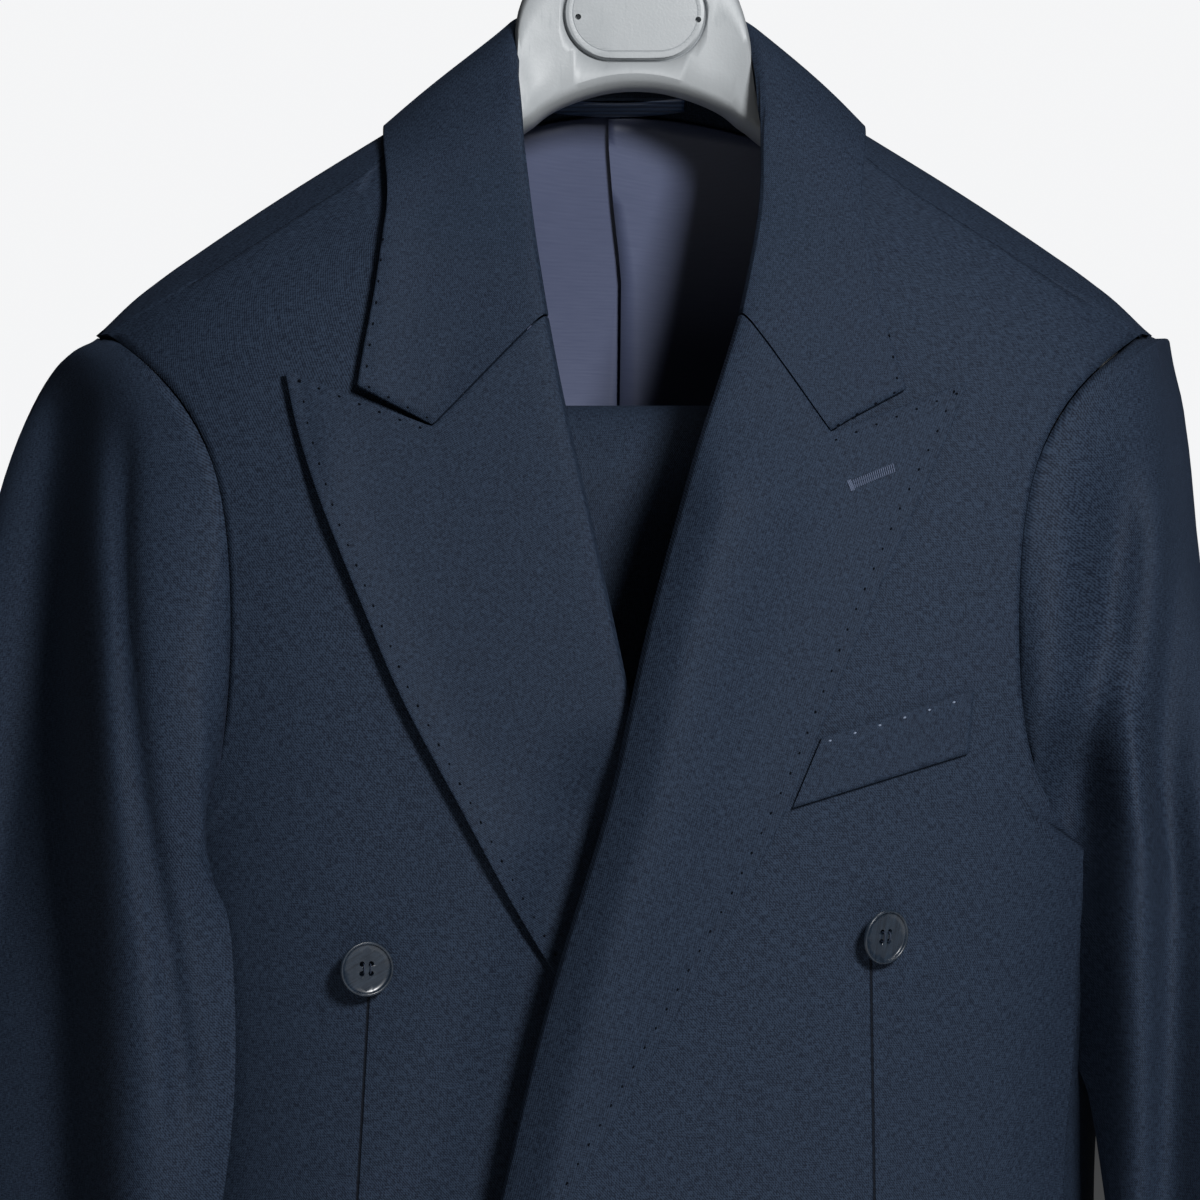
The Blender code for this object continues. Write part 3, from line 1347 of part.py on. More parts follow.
def build_hook(shop):
    """The wire hook: a stem out of the middle, then round over the rail."""
    x = HOOK_SEAT[0]
    radius = HOOK_INNER_RADIUS + HOOK_WIRE_RADIUS
    centre_z = HOOK_SEAT[2] - HOOK_INNER_RADIUS
    bend = 8.0
    points = [(x, 0, HOOK_STEM_FOOT), (x, 0, centre_z - radius - bend)]
    start = math.radians(-62)
    foot = (x + radius * math.cos(start), centre_z + radius * math.sin(start))
    points.append((x + 2.0, 0, centre_z - radius - 1.0))
    points.append(((x + 2.0 + foot[0]) / 2 + 0.5, 0, (centre_z - radius - 1.0 + foot[1]) / 2 - 0.8))
    for k in range(17):
        angle = start + (math.radians(205) - start) * k / 16
        points.append((x + radius * math.cos(angle), 0, centre_z + radius * math.sin(angle)))
    add_tube(shop, "hanger_hook", points, HOOK_WIRE_RADIUS, "steel")


def build_bar(shop):
    """The trouser bar, turned up at both ends into the arms."""
    corner = BAR_HALF_LENGTH - BAR_BEND_RADIUS
    right_half = []
    for k in range(7):
        angle = math.radians(-90 + 15 * k)
        x = corner + BAR_BEND_RADIUS * math.cos(angle)
        z = BAR_Z + BAR_BEND_RADIUS * (1 + math.sin(angle))
        right_half.append((x, 0, z))
    right_half.append((BAR_HALF_LENGTH, 0, BAR_TOP_Z))
    left_half = [(-x, y, z) for x, y, z in reversed(right_half)]
    add_tube(shop, "trouser_bar", left_half + right_half, BAR_RADIUS, "flock")


def build_plate(shop):
    """The bare plate on the hanger's middle, with round ends."""
    curve = bpy.data.curves.new("hanger_plate", "CURVE")
    curve.dimensions = "2D"
    curve.fill_mode = "BOTH"
    curve.extrude = PLATE_THICKNESS / 2 * MM
    radius = PLATE_HEIGHT / 2
    reach = PLATE_LENGTH / 2 - radius
    outline = []
    for k in range(17):
        angle = math.radians(-90 + 180 * k / 16)
        outline.append((reach + radius * math.cos(angle), radius * math.sin(angle)))
    outline += [(-x, -y) for x, y in outline]
    spline = curve.splines.new("POLY")
    spline.points.add(len(outline) - 1)
    for target, (across, up) in zip(spline.points, outline):
        target.co = (across * MM, up * MM, 0, 1)
    spline.use_cyclic_u = True
    curve.materials.append(make_material("hanger_plate", *shop.finishes["plate"]))
    part = bpy.data.objects.new("hanger_plate", curve)
    front = -BLOCK_RINGS[-1].half_depth - 0.3 - PLATE_THICKNESS / 2
    part.location = to_part_frame(np.array([HOOK_SEAT[0], front, PLATE_CENTRE_Z]))
    part.rotation_euler = (math.radians(90), 0, 0)
    shop.parts.objects.link(part)


def main():
    """Build every part."""
    clear_scene()
    shop = Workshop()
    for side in (LEFT, RIGHT):
        build_front(shop, side)
        build_side(shop, side)
        build_back(shop, side)
        build_sleeve(shop, side)
        build_lapel(shop, side)
        build_lining(shop, side)
    build_collar(shop)
    build_welt(shop)
    build_loop(shop)
    button = button_mesh()
    for place in BUTTONS:
        build_button(shop, place, button)
    build_trousers(shop)
    build_hanger_body(shop)
    build_plate(shop)
    build_hook(shop)
    build_bar(shop)


main()
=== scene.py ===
"""Looks of a two-piece suit: a double-breasted jacket on a hanger, its trousers folded over the bar."""

from __future__ import annotations

import json
import logging
import math
from dataclasses import dataclass, field
from enum import Enum, StrEnum
from fnmatch import fnmatch
from typing import Sequence

import bmesh
import bpy
import numpy as np
from bpy.types import ID, Curve, Material, Mesh, NodeSocket, Object
from mathutils import Matrix, Vector
from mathutils.bvhtree import BVHTree

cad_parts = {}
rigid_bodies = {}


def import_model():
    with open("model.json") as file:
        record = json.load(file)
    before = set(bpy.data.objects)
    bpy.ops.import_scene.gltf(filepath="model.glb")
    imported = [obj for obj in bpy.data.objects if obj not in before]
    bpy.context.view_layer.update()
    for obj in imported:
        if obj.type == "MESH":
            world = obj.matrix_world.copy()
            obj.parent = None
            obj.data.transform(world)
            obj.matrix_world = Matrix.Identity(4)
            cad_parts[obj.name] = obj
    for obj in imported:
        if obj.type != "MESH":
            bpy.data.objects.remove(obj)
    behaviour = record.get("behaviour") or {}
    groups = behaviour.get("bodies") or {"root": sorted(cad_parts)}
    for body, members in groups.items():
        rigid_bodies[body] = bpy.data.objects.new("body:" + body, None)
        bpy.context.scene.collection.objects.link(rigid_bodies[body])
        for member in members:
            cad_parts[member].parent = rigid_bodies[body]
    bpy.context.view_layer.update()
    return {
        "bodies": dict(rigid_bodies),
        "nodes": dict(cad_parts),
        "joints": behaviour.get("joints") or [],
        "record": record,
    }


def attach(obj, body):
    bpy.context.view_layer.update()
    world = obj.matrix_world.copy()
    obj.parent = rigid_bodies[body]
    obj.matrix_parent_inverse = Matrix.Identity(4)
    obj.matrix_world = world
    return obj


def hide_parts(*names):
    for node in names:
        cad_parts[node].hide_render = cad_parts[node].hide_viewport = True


LOG = logging.getLogger("suit")
MM = 0.001
HOOK_SEAT = (4.5, 0.0, 245.0)  # the part's origin, in the pattern's millimetres
IN_FRONT = -0.4  # a place forward of all the cloth, in metres
Point = tuple[float, float]
Triple = tuple[float, float, float]


class Side(StrEnum):
    """The wearer's two sides, as they stand in the nodes' names."""

    LEFT = "left"
    RIGHT = "right"


class Grain(Enum):
    """How a panel's threads run: round the body, round an arm, or straight across a flat fold."""

    BODY = "body"
    SLEEVE = "sleeve"
    FLAT = "flat"


class Hold(Enum):
    """How a sheet is held, in the words of the frame."""

    HUNG = "hung"
    FOLDED = "folded"


class Cloth(Enum):
    """What a panel is cut from. The fronts are the suit's wool with a stitched dart in each."""

    WOOL = "wool"
    DARTED_WOOL = "darted wool"
    LINING = "lining"
    TAPE = "tape"


# ---- Shader expressions ----


class Value:
    """A shader socket that takes part in sums, so that a pattern reads as plain arithmetic."""

    def __init__(self, graph: Graph, socket: NodeSocket) -> None:
        """Wraps one output socket of a graph."""
        self.graph = graph
        self.socket = socket

    def _math(self, operation: str, *operands: Value | float) -> Value:
        """Adds one Math node.

        Args:
            operation: The node's operation.
            operands: Its inputs, in order.

        Returns:
            The node's result.
        """
        return self.graph.add("ShaderNodeMath", {"operation": operation}, dict(enumerate(operands)))

    def __add__(self, other: Value | float) -> Value:
        """The sum of two values."""
        return self._math("ADD", self, other)

    def __radd__(self, other: float) -> Value:
        """A number plus a value."""
        return self._math("ADD", other, self)

    def __sub__(self, other: Value | float) -> Value:
        """The difference of two values."""
        return self._math("SUBTRACT", self, other)

    def __rsub__(self, other: float) -> Value:
        """A number less a value."""
        return self._math("SUBTRACT", other, self)

    def __mul__(self, other: Value | float) -> Value:
        """The product of two values."""
        return self._math("MULTIPLY", self, other)

    def __rmul__(self, other: float) -> Value:
        """A number times a value."""
        return self._math("MULTIPLY", other, self)

    def sine(self) -> Value:
        """The sine of an angle in radians."""
        return self._math("SINE", self)

    def size(self) -> Value:
        """The value without its sign."""
        return self._math("ABSOLUTE", self)

    def ramp(self, low: float, high: float) -> Value:
        """A smooth step from 0 at low to 1 at high, where low may be the larger."""
        inputs = {"Value": self, "From Min": low, "From Max": high}
        return self.graph.add("ShaderNodeMapRange", {"interpolation_type": "SMOOTHSTEP"}, inputs)


class Graph:
    """The node tree of one material."""

    MIX_SHARE, MIX_FIRST, MIX_SECOND, MIX_RESULT = 0, 6, 7, 2  # the colour sockets of a Mix node, by number

    def __init__(self, name: str) -> None:
        """Starts a material that holds only a Principled shader and its output.

        Args:
            name: The material's name.
        """
        self.material = bpy.data.materials.new(name)
        self.material.use_nodes = True
        self.tree = self.material.node_tree
        self.shader = next(node for node in self.tree.nodes if node.type == "BSDF_PRINCIPLED")

    def add(self, kind: str, settings: dict, inputs: dict, output: int | str = 0) -> Value:
        """Adds a node.

        Args:
            kind: The node's type.
            settings: Its properties, set before its inputs.
            inputs: Its inputs' names or numbers, and their values or links.
            output: The name or number of the output that is wanted.

        Returns:
            That output.
        """
        node = self.tree.nodes.new(kind)
        for name, value in settings.items():
            setattr(node, name, value)
        for name, value in inputs.items():
            self.feed(node.inputs[name], value)
        return Value(self, node.outputs[output])

    def feed(self, socket: NodeSocket, value: Value | float | Sequence[float]) -> None:
        """Links a value to a socket, or sets a constant on it.

        Args:
            socket: The socket.
            value: An output of the graph, or the constant.
        """
        if isinstance(value, Value):
            self.tree.links.new(value.socket, socket)
        else:
            socket.default_value = value

    def set(self, **inputs: Value | float | Sequence[float]) -> None:
        """Feeds the Principled shader's sockets, named with underscores for spaces."""
        for name, value in inputs.items():
            self.feed(self.shader.inputs[name.replace("_", " ")], value)

    def weave_map(self) -> Value:
        """The place on the panel's own map, in metres across the cloth and down it."""
        return self.add("ShaderNodeUVMap", {"uv_map": "weave"}, {})

    def place(self) -> Value:
        """The place on the object, in metres."""
        return self.add("ShaderNodeTexCoord", {}, {}, "Object")

    def part(self, vector: Value, axis: str) -> Value:
        """A vector's part along the axis X, Y or Z."""
        return self.add("ShaderNodeSeparateXYZ", {}, {0: vector}, axis)

    def stretched(self, vector: Value, scale: Triple, turn: Triple = (0.0, 0.0, 0.0)) -> Value:
        """A vector scaled by axis and then turned."""
        return self.add("ShaderNodeMapping", {}, {"Vector": vector, "Scale": scale, "Rotation": turn})

    def noise(self, vector: Value, scale: float, detail: float = 2.0, rough: float = 0.5) -> Value:
        """Smooth noise from 0 to 1 whose grains are about 1/scale across."""
        inputs = {"Vector": vector, "Scale": scale, "Detail": detail, "Roughness": rough}
        return self.add("ShaderNodeTexNoise", {}, inputs)

    def blend(self, share: Value, first: Value | Triple, second: Triple) -> Value:
        """Mixes two colours.

        Args:
            share: How far towards the second colour, from 0 to 1.
            first: The colour at 0.
            second: The colour at 1.

        Returns:
            The mixed colour.
        """
        start = first if isinstance(first, Value) else (*first, 1.0)
        inputs = {self.MIX_SHARE: share, self.MIX_FIRST: start, self.MIX_SECOND: (*second, 1.0)}
        return self.add("ShaderNodeMix", {"data_type": "RGBA"}, inputs, self.MIX_RESULT)

    def bump(self, height: Value, depth: float) -> Value:
        """A normal raised by height times depth, in metres."""
        return self.add("ShaderNodeBump", {}, {"Height": height, "Distance": depth, "Strength": 1.0})


# ---- Finishes ----


@dataclass(frozen=True)
class WoolTwill:
    """Fine worsted twill: diagonal ribs, crossed yarns and a slight mottle of light and dark fibres."""

    name: str = "wool_twill"
    dark: Triple = (0.0062, 0.0100, 0.0196)
    light: Triple = (0.0206, 0.0330, 0.0570)
    rib_pitch: float = 0.00070
    lean: float = math.radians(58)
    yarn_scale: float = 2600.0
    yarn_draw: float = 0.14
    # painted shade: the near-black that the darts' stitched creases are drawn in
    stitch_shade: Triple = (0.0015, 0.002, 0.004)
    darts: tuple[tuple[Point, Point], ...] = ()

    def make(self) -> Material:
        """Builds the material.

        Returns:
            The material.
        """
        graph = Graph(self.name)
        uv = graph.weave_map()
        wave = 2 * math.pi / self.rib_pitch
        across = graph.part(uv, "X") * (wave * math.sin(self.lean))
        down = graph.part(uv, "Y") * (wave * math.cos(self.lean))
        ribs = (across + down + graph.noise(uv, 160.0) * 2.2).sine()
        warp = graph.noise(graph.stretched(uv, (1.0, self.yarn_draw, 1.0)), self.yarn_scale, 1.0)
        weft = graph.noise(graph.stretched(uv, (self.yarn_draw, 1.0, 1.0)), self.yarn_scale, 1.0)
        yarns = warp + weft
        mottle = graph.noise(uv, 90.0, 3.0, 0.6)
        tone = (yarns - 1.0) * 3.0 + ribs * 0.50 + (mottle - 0.5) * 0.45 + 0.5
        height = ribs * 0.35 + yarns * 0.65
        colour = graph.blend(tone, self.dark, self.light)
        if self.darts:
            crease = self._dart_crease(graph)
            height = height - crease * 9.0
            # Painted shade: each dart's stitched crease is drawn near black, on top of the groove that the
            # bump sinks there.
            colour = graph.blend(crease * 0.85, colour, self.stitch_shade)
        graph.set(
            Base_Color=colour,
            Roughness=0.72 + (mottle - 0.5) * 0.10,
            Specular_IOR_Level=0.11,
            Sheen_Weight=0.015,
            Sheen_Roughness=0.35,
            Sheen_Tint=(0.35, 0.50, 0.90, 1.0),
            Normal=graph.bump(height, 0.00006),
        )
        return graph.material

    def _dart_crease(self, graph: Graph) -> Value:
        """Masks the darts' stitched lines.

        Args:
            graph: The material's graph.

        Returns:
            A mask of 1 along each line and 0 a millimetre away from it.
        """
        place = graph.place()
        x, z = graph.part(place, "X"), graph.part(place, "Z")
        masks = []
        for (top_x, top_z), (low_x, low_z) in self.darts:
            slope = (low_x - top_x) / (low_z - top_z)
            off = (x - (top_x + slope * (z - top_z))).size()
            within = z.ramp(top_z + 1 * MM, top_z - 4 * MM) * z.ramp(low_z - 4 * MM, low_z + 1 * MM)
            masks.append(off.ramp(0.8 * MM, 0.2 * MM) * within)
        return sum(masks[1:], masks[0])


@dataclass(frozen=True)
class LiningSatin:
    """Slate-blue lining with fine cross ribs and a soft sheen."""

    name: str = "lining_satin"
    dark: Triple = (0.052, 0.064, 0.122)
    light: Triple = (0.094, 0.112, 0.190)
    rib_pitch: float = 0.0012

    def make(self) -> Material:
        """Builds the material.

        Returns:
            The material.
        """
        graph = Graph(self.name)
        uv = graph.weave_map()
        ribs = (graph.part(uv, "Y") * (2 * math.pi / self.rib_pitch)).sine()
        slubs = graph.noise(graph.stretched(uv, (0.06, 1.0, 1.0)), 1500.0, 2.0)
        soft = graph.noise(uv, 14.0, 2.0)
        tone = slubs * 0.45 + ribs * 0.03 + soft * 0.5
        graph.set(
            Base_Color=graph.blend(tone, self.dark, self.light),
            Roughness=0.40 + slubs * 0.12,
            Specular_IOR_Level=0.45,
            Sheen_Weight=0.10,
            Sheen_Tint=(0.6, 0.65, 0.9, 1.0),
            Normal=graph.bump(slubs * 0.3 + ribs * 0.04 + soft * 8.0, 0.00007),
        )
        return graph.material


@dataclass(frozen=True)
class BlueTape:
    """The hanging loop's narrow blue tape, ribbed along its length."""

    name: str = "blue_tape"
    dark: Triple = (0.010, 0.022, 0.060)
    light: Triple = (0.035, 0.080, 0.190)
    rib_pitch: float = 0.0017

    def make(self) -> Material:
        """Builds the material.

        Returns:
            The material.
        """
        graph = Graph(self.name)
        place = graph.place()
        ribs = (graph.part(place, "Z") * (2 * math.pi / self.rib_pitch)).sine() * 0.5 + 0.5
        threads = graph.noise(graph.stretched(place, (1.0, 1.0, 0.3)), 1800.0)
        graph.set(
            Base_Color=graph.blend(ribs * 0.7 + threads * 0.3, self.dark, self.light),
            Roughness=0.45 + threads * 0.15,
            Normal=graph.bump(ribs + threads * 0.3, 0.0002),
        )
        return graph.material


@dataclass(frozen=True)
class MouldedGrey:
    """Light grey moulded plastic with a satin skin, handling marks and a little dust."""

    name: str = "moulded_grey"
    base: Triple = (0.335, 0.355, 0.37)
    marked: Triple = (0.255, 0.275, 0.29)
    gloss: float = 0.40

    def make(self) -> Material:
        """Builds the material.

        Returns:
            The material.
        """
        graph = Graph(self.name)
        place = graph.place()
        clouds = graph.noise(place, 26.0, 5.0, 0.62)
        slanted = graph.stretched(place, (1.0, 1.0, 0.12), (0.0, 0.0, 0.4))
        scuffs = graph.noise(slanted, 420.0, 3.0).ramp(0.60, 0.74)
        orange_peel = graph.noise(place, 900.0, 2.0)
        marks = clouds.ramp(0.48, 0.72) * 0.55 + scuffs * 0.18
        graph.set(
            Base_Color=graph.blend(marks, self.base, self.marked),
            Roughness=self.gloss + clouds * 0.16 + scuffs * 0.18,
            Specular_IOR_Level=0.5,
            Normal=graph.bump(orange_peel + clouds * 3.0, 0.00005),
        )
        return graph.material


@dataclass(frozen=True)
class BrightWire:
    """Plated steel wire, with fine lines from drawing it."""

    name: str = "bright_wire"

    def make(self) -> Material:
        """Builds the material.

        Returns:
            The material.
        """
        graph = Graph(self.name)
        place = graph.place()
        drawn = graph.noise(graph.stretched(place, (1.0, 1.0, 0.05)), 2400.0, 3.0)
        haze = graph.noise(place, 60.0, 3.0)
        graph.set(
            Base_Color=graph.blend(haze, (0.66, 0.67, 0.69), (0.48, 0.49, 0.51)),
            Metallic=1.0,
            Roughness=0.16 + drawn * 0.12 + haze * 0.10,
            Normal=graph.bump(drawn, 0.00003),
        )
        return graph.material


@dataclass(frozen=True)
class DarkFlock:
    """The bar's dark flocked sleeve, which keeps the trousers from slipping."""

    name: str = "dark_flock"

    def make(self) -> Material:
        """Builds the material.

        Returns:
            The material.
        """
        graph = Graph(self.name)
        place = graph.place()
        fibres = graph.noise(place, 2600.0, 3.0, 0.7)
        patches = graph.noise(place, 70.0, 2.0)
        graph.set(
            Base_Color=graph.blend(fibres * 0.7 + patches * 0.3, (0.03, 0.03, 0.033), (0.11, 0.11, 0.12)),
            Roughness=0.86 + fibres * 0.08,
            Normal=graph.bump(fibres, 0.0003),
        )
        return graph.material


@dataclass(frozen=True)
class PolishedHorn:
    """Dark blue-grey polished horn with fine streaks, turned a little differently on each button."""

    name: str
    grain_turn: float

    def make(self) -> Material:
        """Builds the material.

        Returns:
            The material.
        """
        graph = Graph(self.name)
        place = graph.place()
        turned = graph.stretched(place, (1.0, 1.0, 1.0), (0.0, self.grain_turn, 0.0))
        streaks = graph.noise(graph.stretched(turned, (90.0, 90.0, 1300.0)), 1.0, 4.0, 0.6)
        clouds = graph.noise(place, 240.0, 2.0)
        tone = (streaks - 0.5) * 1.7 + clouds * 0.5 + 0.25
        graph.set(
            Base_Color=graph.blend(tone, (0.004, 0.007, 0.013), (0.018, 0.030, 0.048)),
            Roughness=0.24 + clouds * 0.10 + streaks * 0.08,
            Specular_IOR_Level=0.6,
            Coat_Weight=0.12,
            Coat_Roughness=0.2,
            Normal=graph.bump(streaks + clouds * 0.5, 0.00003),
        )
        return graph.material


@dataclass(frozen=True)
class TwistedThread:
    """Sewing thread, its plies wound at a slant."""

    name: str
    dark: Triple
    light: Triple
    shine: float = 0.5
    ply_pitch: float = 0.00042

    def make(self) -> Material:
        """Builds the material.

        Returns:
            The material.
        """
        graph = Graph(self.name)
        place = graph.place()
        along = graph.part(place, "X") + graph.part(place, "Z") + graph.part(place, "Y") * 0.5
        plies = (along * (2 * math.pi / self.ply_pitch)).sine() * 0.5 + 0.5
        fuzz = graph.noise(place, 4200.0, 2.0)
        graph.set(
            Base_Color=graph.blend(plies * 0.65 + fuzz * 0.35, self.dark, self.light),
            Roughness=0.55 + fuzz * 0.15,
            Specular_IOR_Level=self.shine,
            Normal=graph.bump(plies + fuzz * 0.5, 0.00006),
        )
        return graph.material


# ---- Making by hand ----


def part_point(x: float, z: float, y: float = 0.0) -> Vector:
    """A point given in the pattern's millimetres, in the part's metres."""
    return Vector(((x - HOOK_SEAT[0]) * MM, y * MM, (z - HOOK_SEAT[2]) * MM))


def deselect() -> None:
    """Leaves nothing selected, so that an operator acts only on what it is given."""
    for thing in bpy.context.view_layer.objects:
        thing.select_set(False)


def only(piece: Object) -> None:
    """Makes one object the selected and the active one.

    Args:
        piece: The object.
    """
    deselect()
    piece.select_set(True)
    bpy.context.view_layer.objects.active = piece


def active() -> Object:
    """The active object."""
    return bpy.context.view_layer.objects.active


def added(name: str, data: ID) -> Object:
    """Puts new data in the scene as an object at the origin.

    Args:
        name: The object's name.
        data: Its mesh, curve, light or camera.

    Returns:
        The object.
    """
    thing = bpy.data.objects.new(name, data)
    bpy.context.scene.collection.objects.link(thing)
    return thing


def dress(mesh: Mesh, finish: Material) -> None:
    """Gives a mesh one finish all over."""
    mesh.materials.clear()
    mesh.materials.append(finish)


def apply_modifiers(piece: Object) -> None:
    """Applies all of a piece's modifiers, in order.

    Args:
        piece: The piece.
    """
    only(piece)
    for modifier in list(piece.modifiers):
        bpy.ops.object.modifier_apply(modifier=modifier.name)


def settle(piece: Object) -> None:
    """Moves an object's place, turn and size into its mesh."""
    only(piece)
    bpy.ops.object.transform_apply(location=True, rotation=True, scale=True)


def joined(pieces: Sequence[Object], name: str) -> Object:
    """Joins pieces into the first of them.

    Args:
        pieces: The pieces.
        name: The new name of the one that they become.

    Returns:
        The joined piece.
    """
    only(pieces[0])
    for piece in pieces:
        piece.select_set(True)
    bpy.ops.object.join()
    pieces[0].name = pieces[0].data.name = name
    return pieces[0]


def merged_copy(frame: dict, node: str) -> Mesh:
    """Copies a node's mesh, with its loose triangles merged and paired into quads where flat enough.

    Args:
        frame: The loaded part.
        node: The node's name.

    Returns:
        The new mesh.
    """
    flat, skew = math.radians(30), math.radians(80)
    shape = bmesh.new()
    shape.from_mesh(frame["nodes"][node].data)
    bmesh.ops.remove_doubles(shape, verts=shape.verts, dist=0.002 * MM)
    bmesh.ops.join_triangles(shape, faces=shape.faces, angle_face_threshold=flat, angle_shape_threshold=skew)
    mesh = bpy.data.meshes.new(node)
    shape.to_mesh(mesh)
    shape.free()
    return mesh


def crease_edges(mesh: Mesh, angle: float, crease: float) -> None:
    """Holds the edges that turn sharply when the mesh is subdivided.

    Args:
        mesh: The mesh.
        angle: Edges that turn by more than this many degrees are held.
        crease: How firmly they are held, from 0 to 1.
    """
    shape = bmesh.new()
    shape.from_mesh(mesh)
    layer = shape.edges.layers.float.get("crease_edge") or shape.edges.layers.float.new("crease_edge")
    for edge in shape.edges:
        if len(edge.link_faces) == 2 and edge.calc_face_angle(0.0) > math.radians(angle):
            edge[layer] = crease
    shape.to_mesh(mesh)
    shape.free()


def smoothed(mesh: Mesh, name: str, finish: Material, angle: float, crease: float, levels: int = 2) -> Object:
    """Makes a node's mesh a smooth piece.

    Args:
        mesh: The node's merged mesh.
        name: The piece's name.
        finish: Its material.
        angle: Edges that turn by more than this many degrees are held.
        crease: How firmly they are held.
        levels: How many times the mesh is subdivided.

    Returns:
        The piece.
    """
    crease_edges(mesh, angle, crease)
    dress(mesh, finish)
    piece = added(name, mesh)
    smooth = piece.modifiers.new("smooth", "SUBSURF")
    smooth.levels = smooth.render_levels = levels
    apply_modifiers(piece)
    return piece


def shade(piece: Object, angle: float) -> None:
    """Shades a piece smooth, except at edges that turn by more than an angle in degrees."""
    piece.data.shade_smooth()
    piece.data.set_sharp_from_angle(angle=math.radians(angle))


def as_mesh(curve: Curve) -> Object:
    """Makes a curve an object that is a mesh.

    Args:
        curve: The curve, with its splines.

    Returns:
        The new object.
    """
    only(added(curve.name, curve))
    bpy.ops.object.convert(target="MESH")
    return active()


def tube(width: float, rounds: int) -> Curve:
    """A curve whose splines are to be round tubes.

    Args:
        width: The tubes' width in millimetres.
        rounds: How finely their section is drawn.

    Returns:
        The curve, still without splines.
    """
    curve = bpy.data.curves.new("tube", "CURVE")
    curve.dimensions = "3D"
    curve.bevel_depth = width * MM / 2
    curve.bevel_resolution = rounds
    return curve


def bent_thread(places: Sequence[Vector], width: float, rounds: int, steps: int) -> Object:
    """A round thread along one smooth curve.

    Args:
        places: The points that it goes through, in metres.
        width: Its width in millimetres.
        rounds: How finely its section is drawn.
        steps: How finely each stretch of it is drawn.

    Returns:
        The thread, as a mesh.
    """
    curve = tube(width, rounds)
    curve.use_fill_caps = True
    curve.resolution_u = steps
    spline = curve.splines.new("BEZIER")
    spline.bezier_points.add(len(places) - 1)
    for knot, place in zip(spline.bezier_points, places):
        knot.co = place
        knot.handle_left_type = knot.handle_right_type = "AUTO"
    return as_mesh(curve)


def sewn_piece(threads: Sequence[Object], name: str, finish: Material) -> Object:
    """Joins threads into one piece in one finish.

    Args:
        threads: The threads.
        name: The piece's name.
        finish: Its material.

    Returns:
        The piece.
    """
    piece = joined(threads, name)
    dress(piece.data, finish)
    piece.data.shade_smooth()
    return piece


def mesh_points(mesh: Mesh) -> np.ndarray:
    """Reads a mesh's points.

    Args:
        mesh: The mesh.

    Returns:
        The points, one in each row.
    """
    points = np.empty(len(mesh.vertices) * 3)
    mesh.vertices.foreach_get("co", points)
    return points.reshape(-1, 3)


def set_mesh_points(mesh: Mesh, points: np.ndarray) -> None:
    """Moves a mesh's points to these rows."""
    mesh.vertices.foreach_set("co", points.reshape(-1))
    mesh.update()


def order_faces(mesh: Mesh) -> None:
    """Puts faces in the order of their corners, because a new sphere's own order differs from run to run.

    Args:
        mesh: A mesh of a few dozen points.
    """
    shape = bmesh.new()
    shape.from_mesh(mesh)
    shape.faces.sort(key=lambda face: sum(2.0**corner.index for corner in face.verts))
    shape.to_mesh(mesh)
    shape.free()


def surface_of(pieces: Sequence[Object]) -> BVHTree:
    """Makes a tree of the pieces' faces, for finding their surface.

    Args:
        pieces: The pieces, with their places in their meshes.

    Returns:
        The tree.
    """
    points: list[Vector] = []
    faces: list[tuple[int, ...]] = []
    for piece in pieces:
        start = len(points)
        points += [vertex.co.copy() for vertex in piece.data.vertices]
        faces += [tuple(start + index for index in polygon.vertices) for polygon in piece.data.polygons]
    return BVHTree.FromPolygons(points, faces)


def front_of(tree: BVHTree, x: float, z: float) -> tuple[Vector, Vector] | None:
    """Finds the foremost point of a surface.

    Args:
        tree: The surface.
        x: The place across, in metres.
        z: The height, in metres.

    Returns:
        The point and its normal, facing forward, or None where there is no surface.
    """
    hit, normal, _, _ = tree.ray_cast(Vector((x, IN_FRONT, z)), Vector((0.0, 1.0, 0.0)))
    if hit is None:
        return None
    return hit, normal if normal.y < 0 else -normal


# ---- Cloth ----


@dataclass(frozen=True)
class Fold:
    """A soft fold pressed into the cloth along a line, in the pattern's millimetres.

    The height is outward for a ridge and negative for a valley. The two widths are its falls to the left
    and the right of the line, seen from the front, and ends is how far it fades out past the line's ends.
    """

    line: tuple[Point, ...]
    height: float
    left: float
    right: float
    ends: float = 30.0

    def lift(self, x: np.ndarray, z: np.ndarray) -> np.ndarray:
        """Works out the fold's height at points, by its line's x at each z.

        Args:
            x: The points' places across, in millimetres.
            z: Their heights, in millimetres.

        Returns:
            The fold's height at each point, in millimetres.
        """
        places, heights = zip(*sorted(self.line, key=lambda point: point[1]))
        off = x - np.interp(z, heights, places)
        spread = np.where(off < 0, self.left, self.right)
        bell = np.exp(-((off / spread) ** 2))
        above, below = (z - heights[0]) / self.ends, (heights[-1] - z) / self.ends
        fade = np.clip(above + 1, 0, 1) * np.clip(below + 1, 0, 1)
        return self.height * bell * fade * fade * (3 - 2 * fade)


